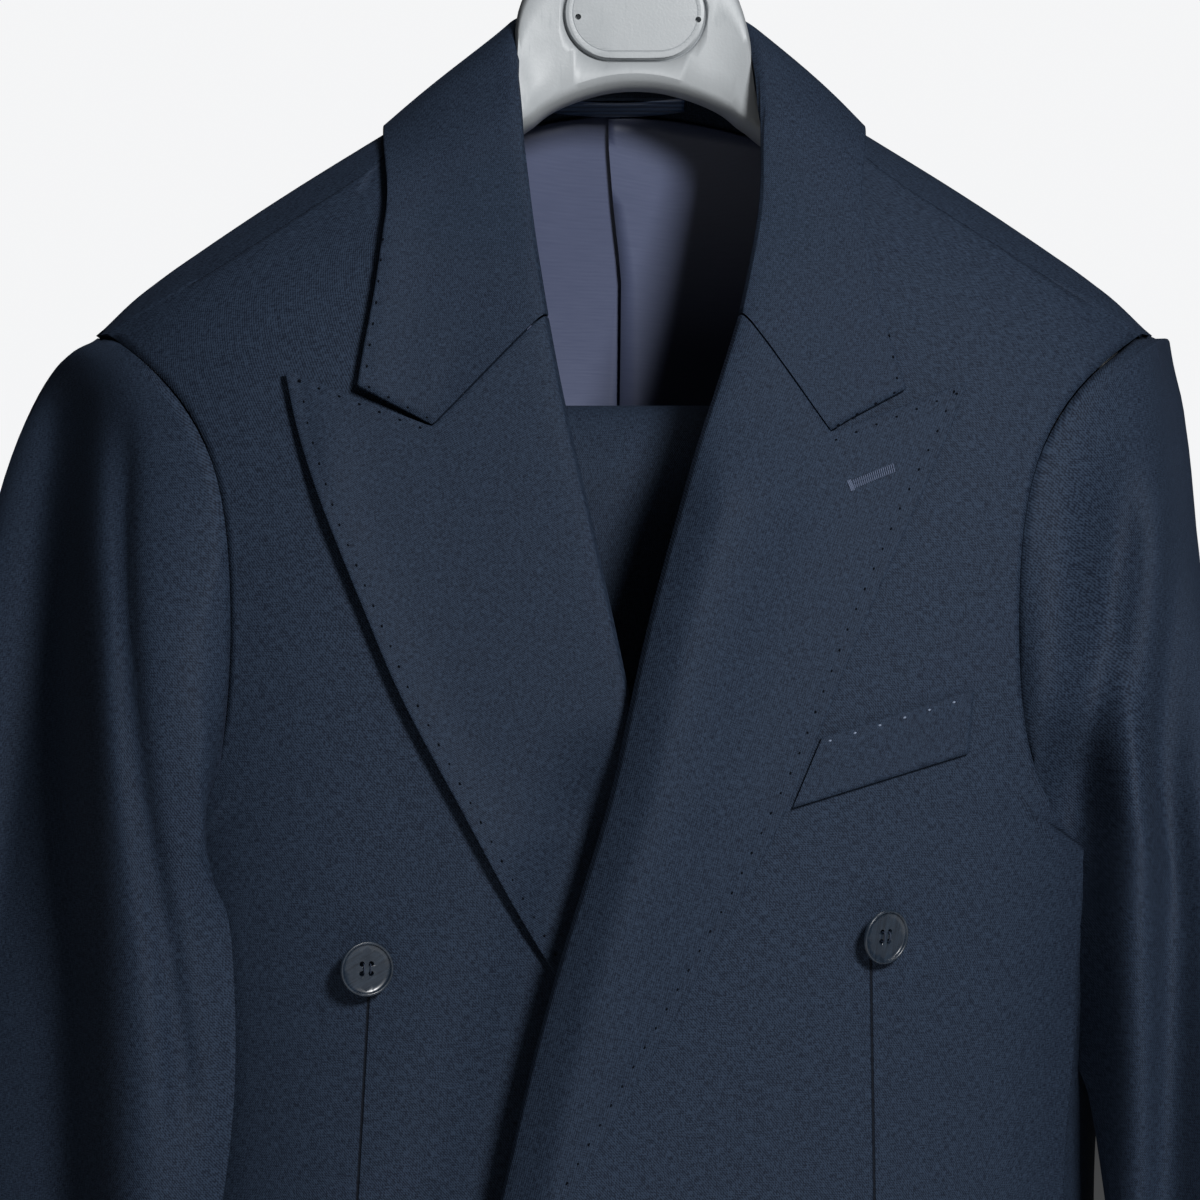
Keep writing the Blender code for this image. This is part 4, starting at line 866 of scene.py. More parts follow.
@dataclass
class ClothPanel:
    """One cut panel of cloth.

    Its width, length and area as cut, and the round forms that its weave follows, are in metres. The levels
    and the crease say how finely and how firmly it is drawn. A fold moves nothing behind back_y, and moves
    the cloth wholly from press_depth in front of that, both in millimetres.
    """

    node: str
    cloth: Cloth
    grain: Grain
    flat: Point
    area: float
    rests_on: tuple[str, ...]
    held: Hold = Hold.HUNG
    levels: int = 2
    crease: float = 1.0
    turn: float = 0.0
    held_angle: float = 38.0
    sharp_angle: float = 48.0
    back_y: float = 20.0
    press_depth: float = 80.0
    body_round: tuple[float, ...] = (0.0, 0.0, 0.2, 0.1)  # middle x and y, half the width and the depth
    arm_heights: Triple = (-0.86, -0.60, -0.25)
    arm_places: Triple = (0.252, 0.238, 0.215)
    arm_round: Triple = (-0.02, 0.045, 0.07)  # middle y, half the width and the depth

    def build(self, frame: dict, finish: Material, slot: str, folds: Sequence[Fold]) -> Object:
        """Makes the cloth from its node's shape.

        Args:
            frame: The loaded part.
            finish: The cloth's material.
            slot: The record's slot for it. Not used.
            folds: Soft folds that cross the panel.

        Returns:
            The finished piece.
        """
        mesh = merged_copy(frame, self.node)
        piece = smoothed(mesh, self.node + "_cloth", finish, self.held_angle, self.crease, self.levels)
        self._map_weave(piece.data)
        self._press(piece.data, folds)
        shade(piece, self.sharp_angle)
        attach(piece, "root")
        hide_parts(self.node)
        return piece

    def _press(self, mesh: Mesh, folds: Sequence[Fold]) -> None:
        """Moves both faces of the cloth together by the folds that cross it.

        Args:
            mesh: The cloth's mesh.
            folds: The folds.
        """
        if not folds:
            return
        points = mesh_points(mesh)
        x = points[:, 0] / MM + HOOK_SEAT[0]
        z = points[:, 2] / MM + HOOK_SEAT[2]
        lift = sum(fold.lift(x, z) for fold in folds) * MM
        share = np.clip((self.back_y - points[:, 1] / MM) / self.press_depth, 0, 1)
        points[:, 1] -= lift * share
        set_mesh_points(mesh, points)

    def _map_weave(self, mesh: Mesh) -> None:
        """Lays the weave on the panel: its place across and down the cloth, in metres.

        Args:
            mesh: The cloth's mesh.
        """
        points = mesh_points(mesh)
        if self.grain is Grain.FLAT:
            across = points[:, 0]
            down = points[:, 2] + points[:, 1]
        else:
            middle_x, middle_y, wide, deep = self._round(points)
            angle = np.arctan2((points[:, 0] - middle_x) / wide, -(points[:, 1] - middle_y) / deep)
            across = angle * (wide + deep) / 2
            down = points[:, 2]
        turned = (
            across * math.cos(self.turn) - down * math.sin(self.turn),
            across * math.sin(self.turn) + down * math.cos(self.turn),
        )
        corner = np.empty(len(mesh.loops), np.int32)
        mesh.loops.foreach_get("vertex_index", corner)
        layer = mesh.uv_layers.get("weave") or mesh.uv_layers.new(name="weave")
        layer.data.foreach_set("uv", np.stack(turned, axis=1)[corner].reshape(-1))

    def _round(self, points: np.ndarray) -> tuple[np.ndarray | float, float, float, float]:
        """Finds the round form that the panel follows.

        Args:
            points: The cloth's points.

        Returns:
            The form's middle x and y, half its width and half its depth.
        """
        if self.grain is Grain.BODY:
            return self.body_round
        side = 1.0 if points[:, 0].mean() > 0 else -1.0
        return (side * np.interp(points[:, 2], self.arm_heights, self.arm_places), *self.arm_round)


# ---- Jacket and trousers ----


def soft_folds() -> dict[str, tuple[Fold, ...]]:
    """Lists the soft folds, in the pattern's millimetres.

    Returns:
        The folds by the names of the panels that they cross, where a star stands for any letters.
    """
    swell_line = (
        (41, -75), (29, -120), (23, -146), (14, -191), (-2, -240), (-19, -302), (-29, -350), (-45, -412),
        (-50, -480),
    )
    swell = Fold(swell_line, 12.0, 15, 30, 45)
    lap_line = ((-13, -205), (-26, -240), (-43, -302), (-55, -350), (-72, -412), (-76, -480))
    under_lap = Fold(lap_line, -16.0, 24, 50, 50)
    lapel_lift = Fold(((-120, -75), (-102, -120), (-91, -146), (-67, -191), (-41, -240)), 3.0, 10, 12, 60)
    right_step = ((-244, -35), (-248, -80), (-247, -127), (-241, -190), (-236, -254), (-233, -400))
    right_crease = (
        (-205, -64), (-205, -85), (-203, -106), (-199, -148), (-194, -190), (-184, -254), (-178, -300),
    )
    left_ridge = ((218, -85), (216, -106), (213, -127), (210, -148), (205, -169), (203, -200), (204, -400))
    left_crease = ((226, -64), (226, -106), (224, -127), (221, -148), (218, -169), (220, -250), (215, -400))
    return {
        "front_left": (swell,),
        "lapel_left": (swell,),
        "breast_welt": (swell,),
        "front_right": (under_lap,),
        "lapel_right": (under_lap, lapel_lift),
        "collar": (Fold(((-102, 62), (-100, 40), (-103, 11), (-108, -32)), 3.5, 12, 14, 25),),
        "*sleeve_right": (Fold(right_step, -60.0, 90, 24, 45), Fold(right_crease, -8.0, 5, 5, 40)),
        "*sleeve_left": (
            Fold(((205, -85), (200, -106), (194, -127), (190, -148), (185, -170)), -13.0, 17, 10, 40),
            Fold(((186, -205), (183, -250), (183, -400)), -34.0, 25, 13, 60),
            Fold(left_ridge, 13.0, 13, 13, 40),
            Fold(left_crease, -9.0, 8, 8, 60),
            Fold(((241, -150), (238, -190), (239, -400)), 28.0, 12, 18, 70),
        ),
        "trouser_*": (Fold(((0, -62), (0, -500)), 24.0, 400, 400, 32),),
    }


@dataclass
class Suit:
    """All the cloth of the jacket and the trousers, panel by panel, in the pattern's millimetres.

    The sleeves are drawn to the body from seam_reach away, wholly from seam_ease less than that, to seam_gap.
    """

    darts: tuple[tuple[Point, Point], ...] = (  # the top and the low end of each
        ((-102.6, -264.0), (-113.0, -440.0)),
        ((98.0, -250.0), (101.5, -440.0)),
    )
    folds: dict[str, tuple[Fold, ...]] = field(default_factory=soft_folds)
    seam_reach: float = 2.8
    seam_ease: float = 0.8
    seam_gap: float = 0.25
    pleat_reach: float = 45.0
    pleat: tuple[Triple, ...] = (  # height, shift to the left, opening
        (-300.0, 0.0, 0.0), (-60.0, 1.5, 4.0), (-26.0, 2.2, 3.6), (3.0, 3.6, 2.6),
        (30.0, 5.4, 1.0), (58.0, 2.6, 0.2), (85.0, 0.4, 0.0), (120.0, 0.0, 0.0),
    )

    def panels(self) -> list[ClothPanel]:
        """Lists the panels.

        Returns:
            The panels of each side, and then the three that the sides share.
        """
        wool, body, arm, flat, folded = Cloth.WOOL, Grain.BODY, Grain.SLEEVE, Grain.FLAT, Hold.FOLDED
        hanger, bar, neck = ("hanger_body",), ("trouser_bar",), ("back_left", "back_right")
        made: list[ClothPanel] = []
        for side, other, turn in ((Side.LEFT, Side.RIGHT, 0.35), (Side.RIGHT, Side.LEFT, -0.35)):
            front, back, leg = (f"front_{side}",), (f"back_{side}",), (f"trouser_back_{other}",)
            made += [
                ClothPanel(f"front_{side}", Cloth.DARTED_WOOL, body, (0.34, 0.79), 0.165, hanger),
                ClothPanel(f"back_{side}", wool, body, (0.25, 0.80), 0.160, hanger),
                ClothPanel(f"side_{side}", wool, body, (0.125, 0.46), 0.047, back),
                ClothPanel(f"upper_sleeve_{side}", wool, arm, (0.25, 0.66), 0.138, front),
                ClothPanel(f"under_sleeve_{side}", wool, arm, (0.17, 0.54), 0.072, back),
                ClothPanel(f"lapel_{side}", wool, flat, (0.16, 0.45), 0.037, front, folded, 3, 0.6, turn),
                ClothPanel(f"back_lining_{side}", Cloth.LINING, flat, (0.23, 0.76), 0.132, back),
                ClothPanel(f"trouser_front_{side}", wool, flat, (0.15, 1.06), 0.095, bar, folded),
                ClothPanel(f"trouser_back_{side}", wool, flat, (0.25, 1.06), 0.175, bar, folded),
                ClothPanel(f"waistband_{side}", wool, flat, (0.40, 0.042), 0.0165, leg),
            ]
        return made + [
            ClothPanel("collar", wool, flat, (0.45, 0.11), 0.046, neck, folded, 3),
            ClothPanel("breast_welt", wool, flat, (0.075, 0.027), 0.0019, ("front_left",), levels=3),
            ClothPanel("hanging_loop", Cloth.TAPE, flat, (0.010, 0.062), 0.0006, ("collar",)),
        ]

    def build(self, frame: dict) -> dict[str, Object]:
        """Makes every panel.

        Args:
            frame: The loaded part.

        Returns:
            The pieces by node name.
        """
        darts = tuple((tuple(part_point(*top).xz), tuple(part_point(*low).xz)) for top, low in self.darts)
        finishes = {
            Cloth.WOOL: (WoolTwill().make(), "wool"),
            Cloth.DARTED_WOOL: (WoolTwill("front_twill", darts=darts).make(), "wool"),
            Cloth.LINING: (LiningSatin().make(), "lining"),
            Cloth.TAPE: (BlueTape().make(), "loop"),
        }
        made: dict[str, Object] = {}
        for panel in self.panels():
            crossing = [some for names, some in self.folds.items() if fnmatch(panel.node, names)]
            folds = [fold for some in crossing for fold in some]
            made[panel.node] = panel.build(frame, *finishes[panel.cloth], folds)
            LOG.info("%s: %d faces", panel.node, len(made[panel.node].data.polygons))
        for side in Side:
            body = surface_of([made[f"{name}_{side}"] for name in ("front", "back", "side")])
            for sleeve in ("upper_sleeve", "under_sleeve"):
                self._close_armhole(made[f"{sleeve}_{side}"].data, body)
            self._sway_pleat(made[f"back_lining_{side}"].data, side)
        return made

    def _close_armhole(self, mesh: Mesh, body: BVHTree) -> None:
        """Draws a sleeve's rim to the body that it is sewn to, but for the sewn seam's own gap.

        Args:
            mesh: The sleeve's mesh.
            body: The surface of the body on the sleeve's side.
        """
        for vertex in mesh.vertices:
            spot, _, _, gap = body.find_nearest(vertex.co, self.seam_reach * MM)
            if spot is None:
                continue
            share = min(1.0, (self.seam_reach - gap / MM) / self.seam_ease)
            drawn = max(0.0, gap - self.seam_gap * MM) * share
            vertex.co += (spot - vertex.co).normalized() * drawn
        mesh.update()

    def _sway_pleat(self, mesh: Mesh, side: Side) -> None:
        """Lets the lining's centre pleat sway to the wearer's left at mid height, and open below.

        Args:
            mesh: The lining's mesh.
            side: The lining's side.
        """
        points = mesh_points(mesh)
        z = points[:, 2] / MM + HOOK_SEAT[2]
        heights, shifts, openings = zip(*self.pleat)
        sway = np.interp(z, heights, shifts)
        if side is Side.LEFT:
            sway += np.interp(z, heights, openings)
        near = np.exp(-((points[:, 0] / MM / self.pleat_reach) ** 2))
        points[:, 0] += sway * near * MM
        set_mesh_points(mesh, points)


# ---- Stitching ----


@dataclass(frozen=True)
class StitchLine:
    """A pick-stitched edge in the pattern's millimetres. The inset is how far to its left the thread lies."""

    name: str
    cloth: str
    edge: tuple[Point, ...]
    inset: float
    pitch: float = 8.8
    start: float = 4.0
    stop: float = 2.0

    def places(self) -> list[tuple[Point, Point]]:
        """Lays out the stitches along the edge.

        Returns:
            Each stitch's middle, and the direction that it runs in.
        """
        points = np.array(self.edge)
        steps = np.diff(points, axis=0)
        lengths = np.hypot(*steps.T)
        along = np.concatenate([[0.0], np.cumsum(lengths)])
        places = []
        for distance in np.arange(self.start, along[-1] - self.stop, self.pitch):
            index = min(int(np.searchsorted(along, distance, "right")) - 1, len(steps) - 1)
            way = steps[index] / lengths[index]
            point = points[index] + way * (distance - along[index])
            inward = np.array([-way[1], way[0]]) * self.inset
            places.append((tuple(point + inward), tuple(way)))
        return places


def stitch_lines() -> tuple[StitchLine, ...]:
    """Lists the pick-stitched edges, in the pattern's millimetres.

    Returns:
        The edges of both lapels, the collar and the welt.
    """
    right_peak, right_notch = (-134.5, -18.5), (-77.0, -41.0)
    left_peak, left_notch = (136.8, -23.8), (81.8, -45.0)
    right_corner, left_corner = (-107.5, -25.0), (113.0, -27.0)
    right_lapel = (
        right_peak, (-130.0, -42.0), (-118.0, -78.5), (-89.0, -146.5), (-61.0, -198.0), (-29.0, -257.0),
    )
    left_lapel = (
        left_peak, (127.0, -46.0), (112.6, -74.5), (92.0, -120.6), (70.0, -176.0), (44.5, -228.0),
        (17.5, -276.0), (-10.4, -324.0), (-24.0, -348.0),
    )
    right_collar = ((-101.5, 58.0), (-100.4, 40.0), (-102.9, 11.0), right_corner)
    left_collar = ((103.0, 62.0), (104.5, 40.0), (107.7, 7.0), left_corner)
    return (
        StitchLine("lapel_right_peak", "lapel_right", (right_peak, right_notch), -2.2),
        StitchLine("lapel_right_edge", "lapel_right", right_lapel, 2.6),
        StitchLine("collar_right_edge", "collar", right_collar, 2.4),
        StitchLine("collar_right_end", "collar", (right_corner, right_notch), 2.2),
        StitchLine("lapel_left_peak", "lapel_left", (left_peak, left_notch), 2.2),
        StitchLine("lapel_left_edge", "lapel_left", left_lapel, -2.6),
        StitchLine("collar_left_edge", "collar", left_collar, -2.4),
        StitchLine("collar_left_end", "collar", (left_corner, left_notch), -2.2),
        StitchLine("welt_top", "breast_welt", ((76.0, -165.5), (139.4, -146.6)), -2.6, 10.5, 5.0),
    )


@dataclass
class PickStitching:
    """Hand-picked stitches along the lapels, the collar and the welt: short threads that pinch the edge."""

    length: float = 1.5
    thick: float = 0.85
    sink: float = 0.25
    pinch: float = 0.60
    pinch_reach: float = 2.0
    lines: tuple[StitchLine, ...] = field(default_factory=stitch_lines)

    def build(self, cloth: dict[str, Object]) -> None:
        """Sews every line, and pinches the cloth under each stitch.

        Args:
            cloth: The cloth by node name.
        """
        # The lapel and collar thread is navy like the cloth, but it is drawn near black and far darker than
        # the cloth: painted shade of the dimples that the stitches pinch.
        navy_painted_dimple_shade = TwistedThread("navy_thread_painted_dimple_shade", (0.0005, 0.0008, 0.0016), (0.0025, 0.004, 0.008), 0.05).make()
        pale = TwistedThread("welt_thread", (0.05, 0.07, 0.12), (0.30, 0.36, 0.48)).make()
        pattern = self._stitch()
        trees = {name: surface_of([cloth[name]]) for name in sorted({line.cloth for line in self.lines})}
        pinches: dict[str, list[tuple[Vector, Vector]]] = {name: [] for name in trees}
        for line in self.lines:
            stitches = []
            for (x, z), way in line.places():
                middle = part_point(x, z)
                found = front_of(trees[line.cloth], middle.x, middle.z)
                if found is None:
                    continue
                spot, normal = found
                pinches[line.cloth].append((spot, normal))
                stitches.append(self._sewn(pattern, spot - normal * self.sink * MM, normal, way))
            if not stitches:
                LOG.warning("%s: no stitch found its cloth", line.name)
                continue
            finish = pale if line.cloth == "breast_welt" else navy_painted_dimple_shade
            piece = sewn_piece(stitches, line.name + "_stitches", finish)
            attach(piece, "root")
            LOG.info("%s: %d stitches", piece.name, len(stitches))
        for name, places in pinches.items():
            self._pinch(cloth[name].data, places)
        bpy.data.objects.remove(pattern)

    def _stitch(self) -> Object:
        """Shapes one stitch along X, arched so that both ends dive into the cloth.

        Returns:
            The stitch, for copying.
        """
        deselect()
        bpy.ops.mesh.primitive_uv_sphere_add(segments=8, ring_count=6, radius=1.0)
        stitch = active()
        full, taper, dive = 1.15, 0.3, 0.55  # the middle's fullness, and how the ends narrow and drop
        points = mesh_points(stitch.data)[:, [2, 0, 1]]
        along = points[:, 0]
        points[:, 1:] *= np.clip(full - along**6 * taper, 0, 1)[:, None]
        points = points * np.array([self.length, self.thick, self.thick]) * MM / 2
        points[:, 2] -= along**2 * self.thick * dive * MM
        set_mesh_points(stitch.data, points)
        order_faces(stitch.data)
        return stitch

    @staticmethod
    def _sewn(pattern: Object, spot: Vector, normal: Vector, way: Point) -> Object:
        """Copies the stitch onto the cloth, turned to run along its edge.

        Args:
            pattern: The stitch.
            spot: The copy's middle.
            normal: The cloth's normal there.
            way: The edge's direction, in x and z.

        Returns:
            The copy.
        """
        along = Vector((way[0], 0.0, way[1]))
        along = (along - normal * along.dot(normal)).normalized()
        side = normal.cross(along)
        turn = Matrix((along, side, normal)).transposed()
        mesh = pattern.data.copy()
        mesh.transform(Matrix.Translation(spot) @ turn.to_4x4())
        if turn.determinant() < 0:
            mesh.flip_normals()
        return added("stitch", mesh)

    def _pinch(self, mesh: Mesh, places: Sequence[tuple[Vector, Vector]]) -> None:
        """Draws the cloth in under each stitch.

        Args:
            mesh: The cloth's mesh.
            places: Each stitch's place on the cloth, and the normal there.
        """
        points = mesh_points(mesh)
        shift = np.zeros_like(points)
        reach = self.pinch_reach * MM
        for spot, normal in places:
            away = np.linalg.norm(points - np.array(spot), axis=1)
            near = away < reach * 2.5
            shift[near] -= np.exp(-((away[near] / reach) ** 2))[:, None] * np.array(normal) * self.pinch * MM
        set_mesh_points(mesh, points + shift)


@dataclass
class LapelButtonhole:
    """The lapel's worked buttonhole: two rows of purl stitches with a bar at one end, in millimetres."""

    start: Point = (91.6, -64.2)
    end: Point = (107.6, -57.6)
    stitches: int = 21
    slit: float = 0.12
    width: float = 1.65
    lean: float = 0.28
    thread: float = 0.62
    bar_places: tuple[float, ...] = (-0.9, -1.5, -2.1)
    bar_reach: float = 2.25
    bar_thread: float = 0.713
    raised: float = 0.30
    sunk: float = 0.02

    def build(self, cloth: dict[str, Object]) -> None:
        """Works the buttonhole on the left lapel.

        Args:
            cloth: The cloth by node name.
        """
        tree = surface_of([cloth["lapel_left"]])
        start, end = np.array(self.start), np.array(self.end)
        way = (end - start) / np.hypot(*(end - start))
        across = np.array([-way[1], way[0]])
        threads = []
        for index in range(self.stitches):
            middle = start + (end - start) * index / (self.stitches - 1)
            for side in (-1, 1):
                near = middle + across * side * self.slit
                far = middle + across * side * self.width + way * side * self.lean
                threads.append(self._thread(tree, near, far, self.thread))
        for offset in self.bar_places:
            middle, reach = start + way * offset, across * self.bar_reach
            threads.append(self._thread(tree, middle - reach, middle + reach, self.bar_thread))
        finish = TwistedThread("buttonhole_thread", (0.020, 0.030, 0.058), (0.10, 0.13, 0.21)).make()
        piece = sewn_piece(threads, "lapel_buttonhole", finish)
        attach(piece, "root")
        LOG.info("%s: %d threads", piece.name, len(threads))

    def _thread(self, tree: BVHTree, near: np.ndarray, far: np.ndarray, width: float) -> Object:
        """Lays a short thread over the cloth, with its ends sunk into it.

        Args:
            tree: The cloth's surface.
            near: One end, in the pattern's millimetres.
            far: The other end.
            width: The thread's width in millimetres.

        Returns:
            The thread.
        """
        places = []
        for (x, z), rise in ((near, self.sunk), ((near + far) / 2, self.raised), (far, self.sunk)):
            middle = part_point(x, z)
            spot, normal = front_of(tree, middle.x, middle.z)
            places.append(spot + normal * rise * MM)
        return bent_thread(places, width, 1, 3)


# ---- Buttons ----


@dataclass
class Buttons:
    """The four front buttons, smoothed from their nodes, with the thread that holds them."""

    names: tuple[str, ...] = ("button_top_right", "button_top_left", "button_low_right", "button_low_left")
    hole_up: float = 1.9078
    hole_aside: float = 1.3545
    thread_width: float = 0.5
    bar: tuple[Point, ...] = (  # the share of hole_up upward, and the millimetres outward
        (-1.0, -1.0), (-0.86, 0.45), (0.0, 0.85), (0.86, 0.45), (1.0, -1.0),
    )

    def build(self, frame: dict) -> None:
        """Makes the buttons and their threads.

        Args:
            frame: The loaded part.
        """
        thread = TwistedThread("button_thread", (0.004, 0.008, 0.018), (0.020, 0.034, 0.070)).make()
        for index, node in enumerate(self.names):
            finish = PolishedHorn(f"horn_{index}", 0.5 + 0.9 * index).make()
            button = smoothed(merged_copy(frame, node), node + "_polished", finish, 30.0, 0.75)
            shade(button, 40.0)
            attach(button, "root")
            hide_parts(node)
            piece = sewn_piece(self._bars(button), node + "_thread", thread)
            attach(piece, "root")
            for made in (button, piece):
                LOG.info("%s: %d faces", made.name, len(made.data.polygons))

    def _bars(self, button: Object) -> list[Object]:
        """Threads the holes in two upright bars, square to the button's own face.

        Args:
            button: The finished button.

        Returns:
            The bars.
        """
        points = mesh_points(button.data)
        centre = Vector((points.max(axis=0) + points.min(axis=0)) / 2)
        _, _, axes = np.linalg.svd(points - points.mean(axis=0), full_matrices=False)
        face = Vector(axes[2])
        if face.y > 0:
            face = -face
        up = (Vector((0, 0, 1)) - face * face.z).normalized()
        bars = []
        for column in (-1, 1):
            foot = centre + up.cross(face) * column * self.hole_aside * MM
            places = [foot + up * share * self.hole_up * MM + face * out * MM for share, out in self.bar]
            bars.append(bent_thread(places, self.thread_width, 2, 4))
        return bars


# ---- Hanger ----


@dataclass
class Hanger:
    """The broad hanger: its moulded body and plate, wire hook and flocked bar, in millimetres."""

    screw_places: tuple[Point, ...] = ((-19.2, 132.8), (30.9, 131.6))
    screw_radius: float = 1.25
    screw_depth: float = 4.5
    line_inset: float = 2.8
    line_width: float = 0.5
    groove_width: float = 1.7
    groove_depth: float = 3.2
    neck: tuple[Triple, ...] = (  # height, how much wider at the wearer's right and left
        (90.0, 0.0, 0.0), (98.0, 1.5, 2.5), (110.0, 4.5, 5.0), (141.0, 13.0, 7.5), (170.0, 15.0, 8.0),
    )
    neck_core: float = 30.0
    neck_ease: float = 10.0
    neck_reach: float = 60.0

    def build(self, frame: dict) -> None:
        """Smooths and dresses the hanger's nodes.

        Args:
            frame: The loaded part.
        """
        plate_grey = MouldedGrey("plate_grey", (0.31, 0.33, 0.345), (0.25, 0.27, 0.285), 0.36)
        finishes = {  # material, slot, and the angle past which edges are held
            "hanger_body": (MouldedGrey(), "hanger", 34.0),
            "hanger_plate": (plate_grey, "plate", 34.0),
            "hanger_hook": (BrightWire(), "steel", 50.0),
            "trouser_bar": (DarkFlock(), "flock", 50.0),
        }
        pieces: dict[str, Object] = {}
        for node, (finish, slot, angle) in finishes.items():
            mesh = merged_copy(frame, node)
            if node == "hanger_body":
                self._broaden_neck(mesh)
            piece = smoothed(mesh, node + "_smooth", finish.make(), angle, 0.8)
            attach(piece, "root")
            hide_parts(node)
            pieces[node] = piece
        self._cut_plate(pieces["hanger_plate"], pieces["hanger_body"])
        for piece in pieces.values():
            shade(piece, 40.0)
            LOG.info("%s: %d faces", piece.name, len(piece.data.polygons))
        even = pieces["hanger_plate"].modifiers.new("even", "WEIGHTED_NORMAL")
        even.keep_sharp = True
        apply_modifiers(pieces["hanger_plate"])

    def _broaden_neck(self, mesh: Mesh) -> None:
        """Moves the flanks of the neck out to where the collar hides them.

        Args:
            mesh: The moulded body's mesh.
        """
        points = mesh_points(mesh)
        z = points[:, 2] / MM + HOOK_SEAT[2]
        heights, right, left = zip(*self.neck)
        wider = np.where(points[:, 0] < 0, -np.interp(z, heights, right), np.interp(z, heights, left))
        off = np.abs(points[:, 0] / MM)
        share = np.clip((off - self.neck_core) / self.neck_ease, 0, 1) * (off < self.neck_reach)
        points[:, 0] += wider * share * MM
        set_mesh_points(mesh, points)

    def _cut_plate(self, plate: Object, body: Object) -> None:
        """Cuts the line inside the plate's edge, the groove that it is set in and its two screw holes.

        Args:
            plate: The plate.
            body: The moulded body.
        """
        points = mesh_points(plate.data)
        low, high = points.min(axis=0) / MM, points.max(axis=0) / MM
        line = self._ring_cutter(low, high, low[1], -self.line_inset, self.line_width, 1.0)
        deeper = self.groove_depth * 2 / self.groove_width
        groove = self._ring_cutter(low, high, high[1], self.groove_width / 2, self.groove_width, deeper)
        holes = []
        for x, z in self.screw_places:
            deselect()
            bpy.ops.mesh.primitive_cylinder_add(
                vertices=24, radius=self.screw_radius * MM, depth=2 * self.screw_depth * MM,
                location=part_point(x, z, low[1]), rotation=(math.pi / 2, 0.0, 0.0),
            )
            holes.append(active())
            settle(holes[-1])
        for piece, cutters in ((plate, [line, *holes]), (body, [groove, *holes])):
            for cutter in cutters:
                cut = piece.modifiers.new("cut", "BOOLEAN")
                cut.operation = "DIFFERENCE"
                cut.object = cutter
            apply_modifiers(piece)
        for cutter in (line, groove, *holes):
            bpy.data.objects.remove(cutter)

    @staticmethod
    def _ring_cutter(
        low: np.ndarray, high: np.ndarray, y: float, outside: float, width: float, deeper: float
    ) -> Object:
        """A closed tube of the plate's outline.

        Args:
            low: The plate's lowest corner, in the part's millimetres.
            high: Its highest corner.
            y: Where the tube's middle lies.
            outside: How far the tube lies outside the plate's edge.
            width: The tube's width.
            deeper: How many times deeper than wide the tube is.

        Returns:
            The tube.
        """
        curve = tube(width, 2)
        spline = curve.splines.new("POLY")
        spline.use_cyclic_u = True
        middle = (low + high) / 2
        straight = (high[0] - low[0] - high[2] + low[2]) / 2
        radius = (high[2] - low[2]) / 2 + outside
        turns = np.linspace(-math.pi / 2, math.pi * 1.5, 48, endpoint=False) + math.pi / 48
        spline.points.add(len(turns) - 1)
        for knot, turn in zip(spline.points, turns):
            x = middle[0] + math.copysign(straight, math.cos(turn)) + radius * math.cos(turn)
            knot.co = (x * MM, 0.0, (middle[2] + radius * math.sin(turn)) * MM, 1.0)
        ring = as_mesh(curve)
        ring.scale.y = deeper
        ring.location.y = y * MM
        settle(ring)
        return ring


# ---- Studio ----


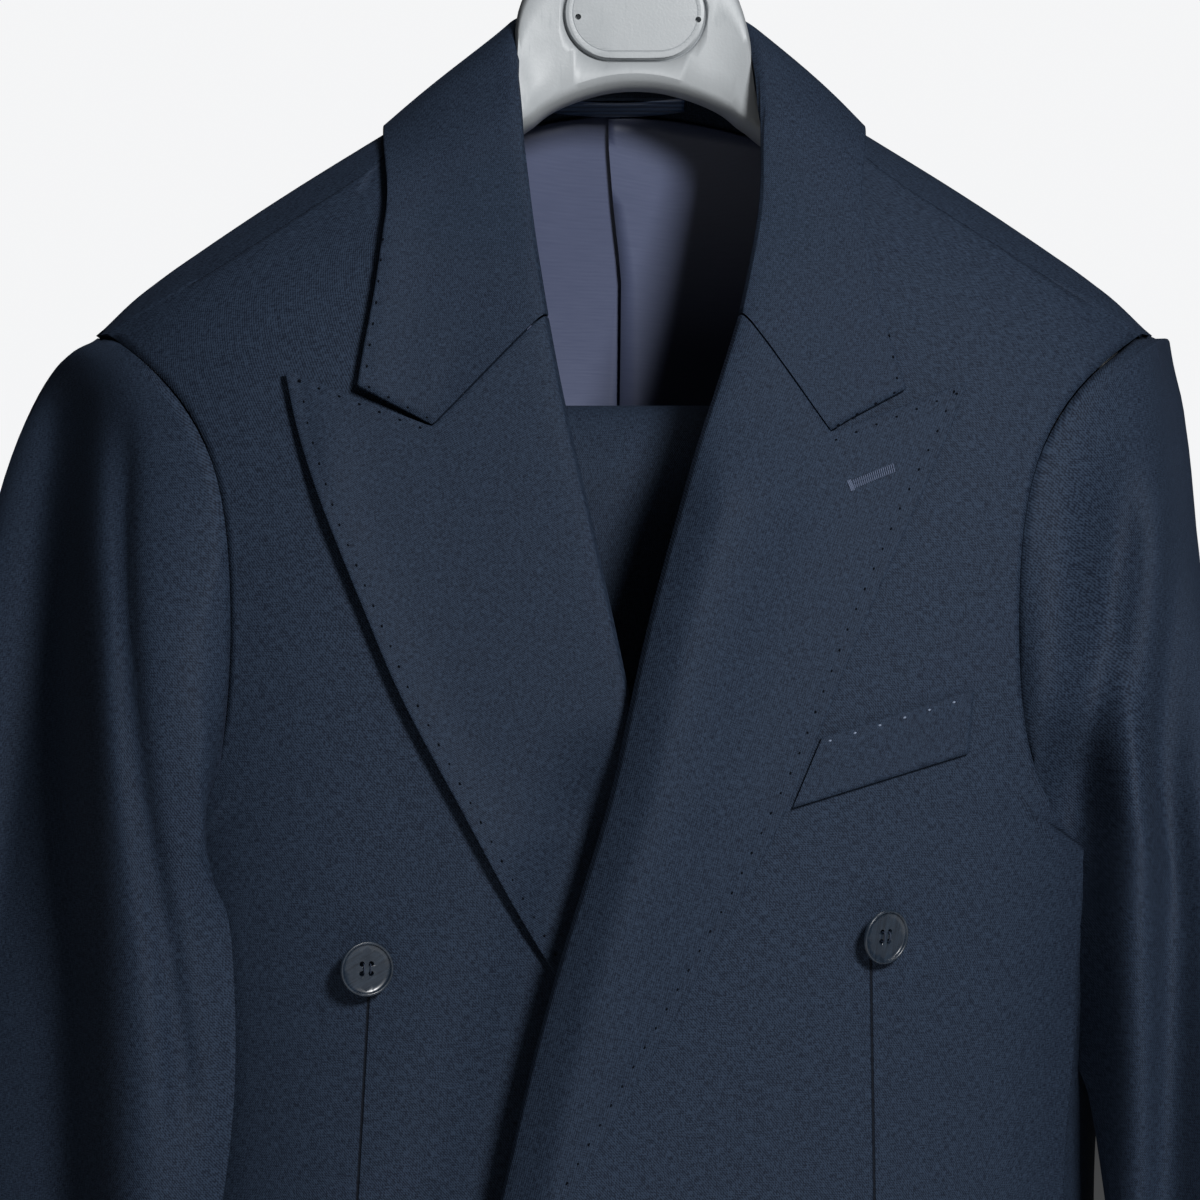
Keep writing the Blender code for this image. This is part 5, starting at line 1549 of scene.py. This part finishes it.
@dataclass
class Studio:
    """A pale floor, a key light, two weaker ones and a level camera in front of the shoulders."""

    camera_place: Triple = (-0.01459, -2.0, -0.3556)
    lens: float = 142.68
    floor_height: float = -1.08
    soft_glow: tuple[float, float, float, float] = (0.92, 0.95, 1.0, 1.0)
    glow_strength: float = 0.03
    wall_colour: tuple[float, float, float, float] = (0.91, 0.915, 0.925, 1.0)

    def build(self) -> None:
        """Sets the stage."""
        self._camera()
        self._floor()
        self._lights()
        self._surroundings()
        bpy.context.scene.view_settings.view_transform = "Standard"

    def _camera(self) -> None:
        """Puts the camera level, looking along Y."""
        data = bpy.data.cameras.new("camera")
        data.lens = self.lens
        data.sensor_width = 36.0
        camera = added("camera", data)
        camera.location = self.camera_place
        camera.rotation_euler = (math.pi / 2, 0.0, 0.0)
        bpy.context.scene.camera = camera

    def _floor(self) -> None:
        """Lays a wide pale floor below the suit."""
        deselect()
        place = (0.0, 0.0, self.floor_height)
        bpy.ops.mesh.primitive_circle_add(vertices=64, radius=6.0, fill_type="NGON", location=place)
        floor = active()
        floor.name = "floor"
        graph = Graph("pale_floor")
        colour = graph.blend(graph.noise(graph.place(), 3.0), (0.80, 0.81, 0.82), (0.84, 0.84, 0.84))
        graph.set(Base_Color=colour, Roughness=0.8)
        floor.data.materials.append(graph.material)

    def _lights(self) -> None:
        """Hangs a key light at the right, a broad weak fill at the left and a light above."""
        for name, place, aim, size, power in (
            ("key", (0.65, -1.72, 0.33), (0.0, 0.0, -0.30), 0.32, 43.0),
            ("fill", (-1.8, -2.2, 0.1), (0.0, 0.0, -0.4), 1.6, 0.6),
            ("top", (0.4, -0.3, 1.4), (0.0, 0.0, -0.2), 0.6, 6.0),
        ):
            data = bpy.data.lights.new(name, "AREA")
            data.size = size
            data.energy = power
            light = added(name, data)
            light.location = place
            light.rotation_euler = (Vector(aim) - Vector(place)).to_track_quat("-Z", "Y").to_euler()

    def _surroundings(self) -> None:
        """A pale world that lights softly and shows as a near-white wall."""
        world = bpy.data.worlds.new("studio")
        bpy.context.scene.world = world
        world.use_nodes = True
        tree = world.node_tree
        tree.nodes.clear()
        ray = tree.nodes.new("ShaderNodeLightPath")
        mix = tree.nodes.new("ShaderNodeMixShader")
        out = tree.nodes.new("ShaderNodeOutputWorld")
        tree.links.new(ray.outputs["Is Camera Ray"], mix.inputs[0])
        for socket, colour, strength in ((1, self.soft_glow, self.glow_strength), (2, self.wall_colour, 1.0)):
            background = tree.nodes.new("ShaderNodeBackground")
            background.inputs["Color"].default_value = colour
            background.inputs["Strength"].default_value = strength
            tree.links.new(background.outputs[0], mix.inputs[socket])
        tree.links.new(mix.outputs[0], out.inputs["Surface"])


# ---- The whole ----


def main() -> None:
    """Builds the suit and its studio, and reports each piece."""
    logging.basicConfig(level=logging.INFO, format="%(name)s: %(message)s")
    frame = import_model()
    cloth = Suit().build(frame)
    PickStitching().build(cloth)
    LapelButtonhole().build(cloth)
    Buttons().build(frame)
    Hanger().build(frame)
    Studio().build()


if __name__ == "__main__":
    main()
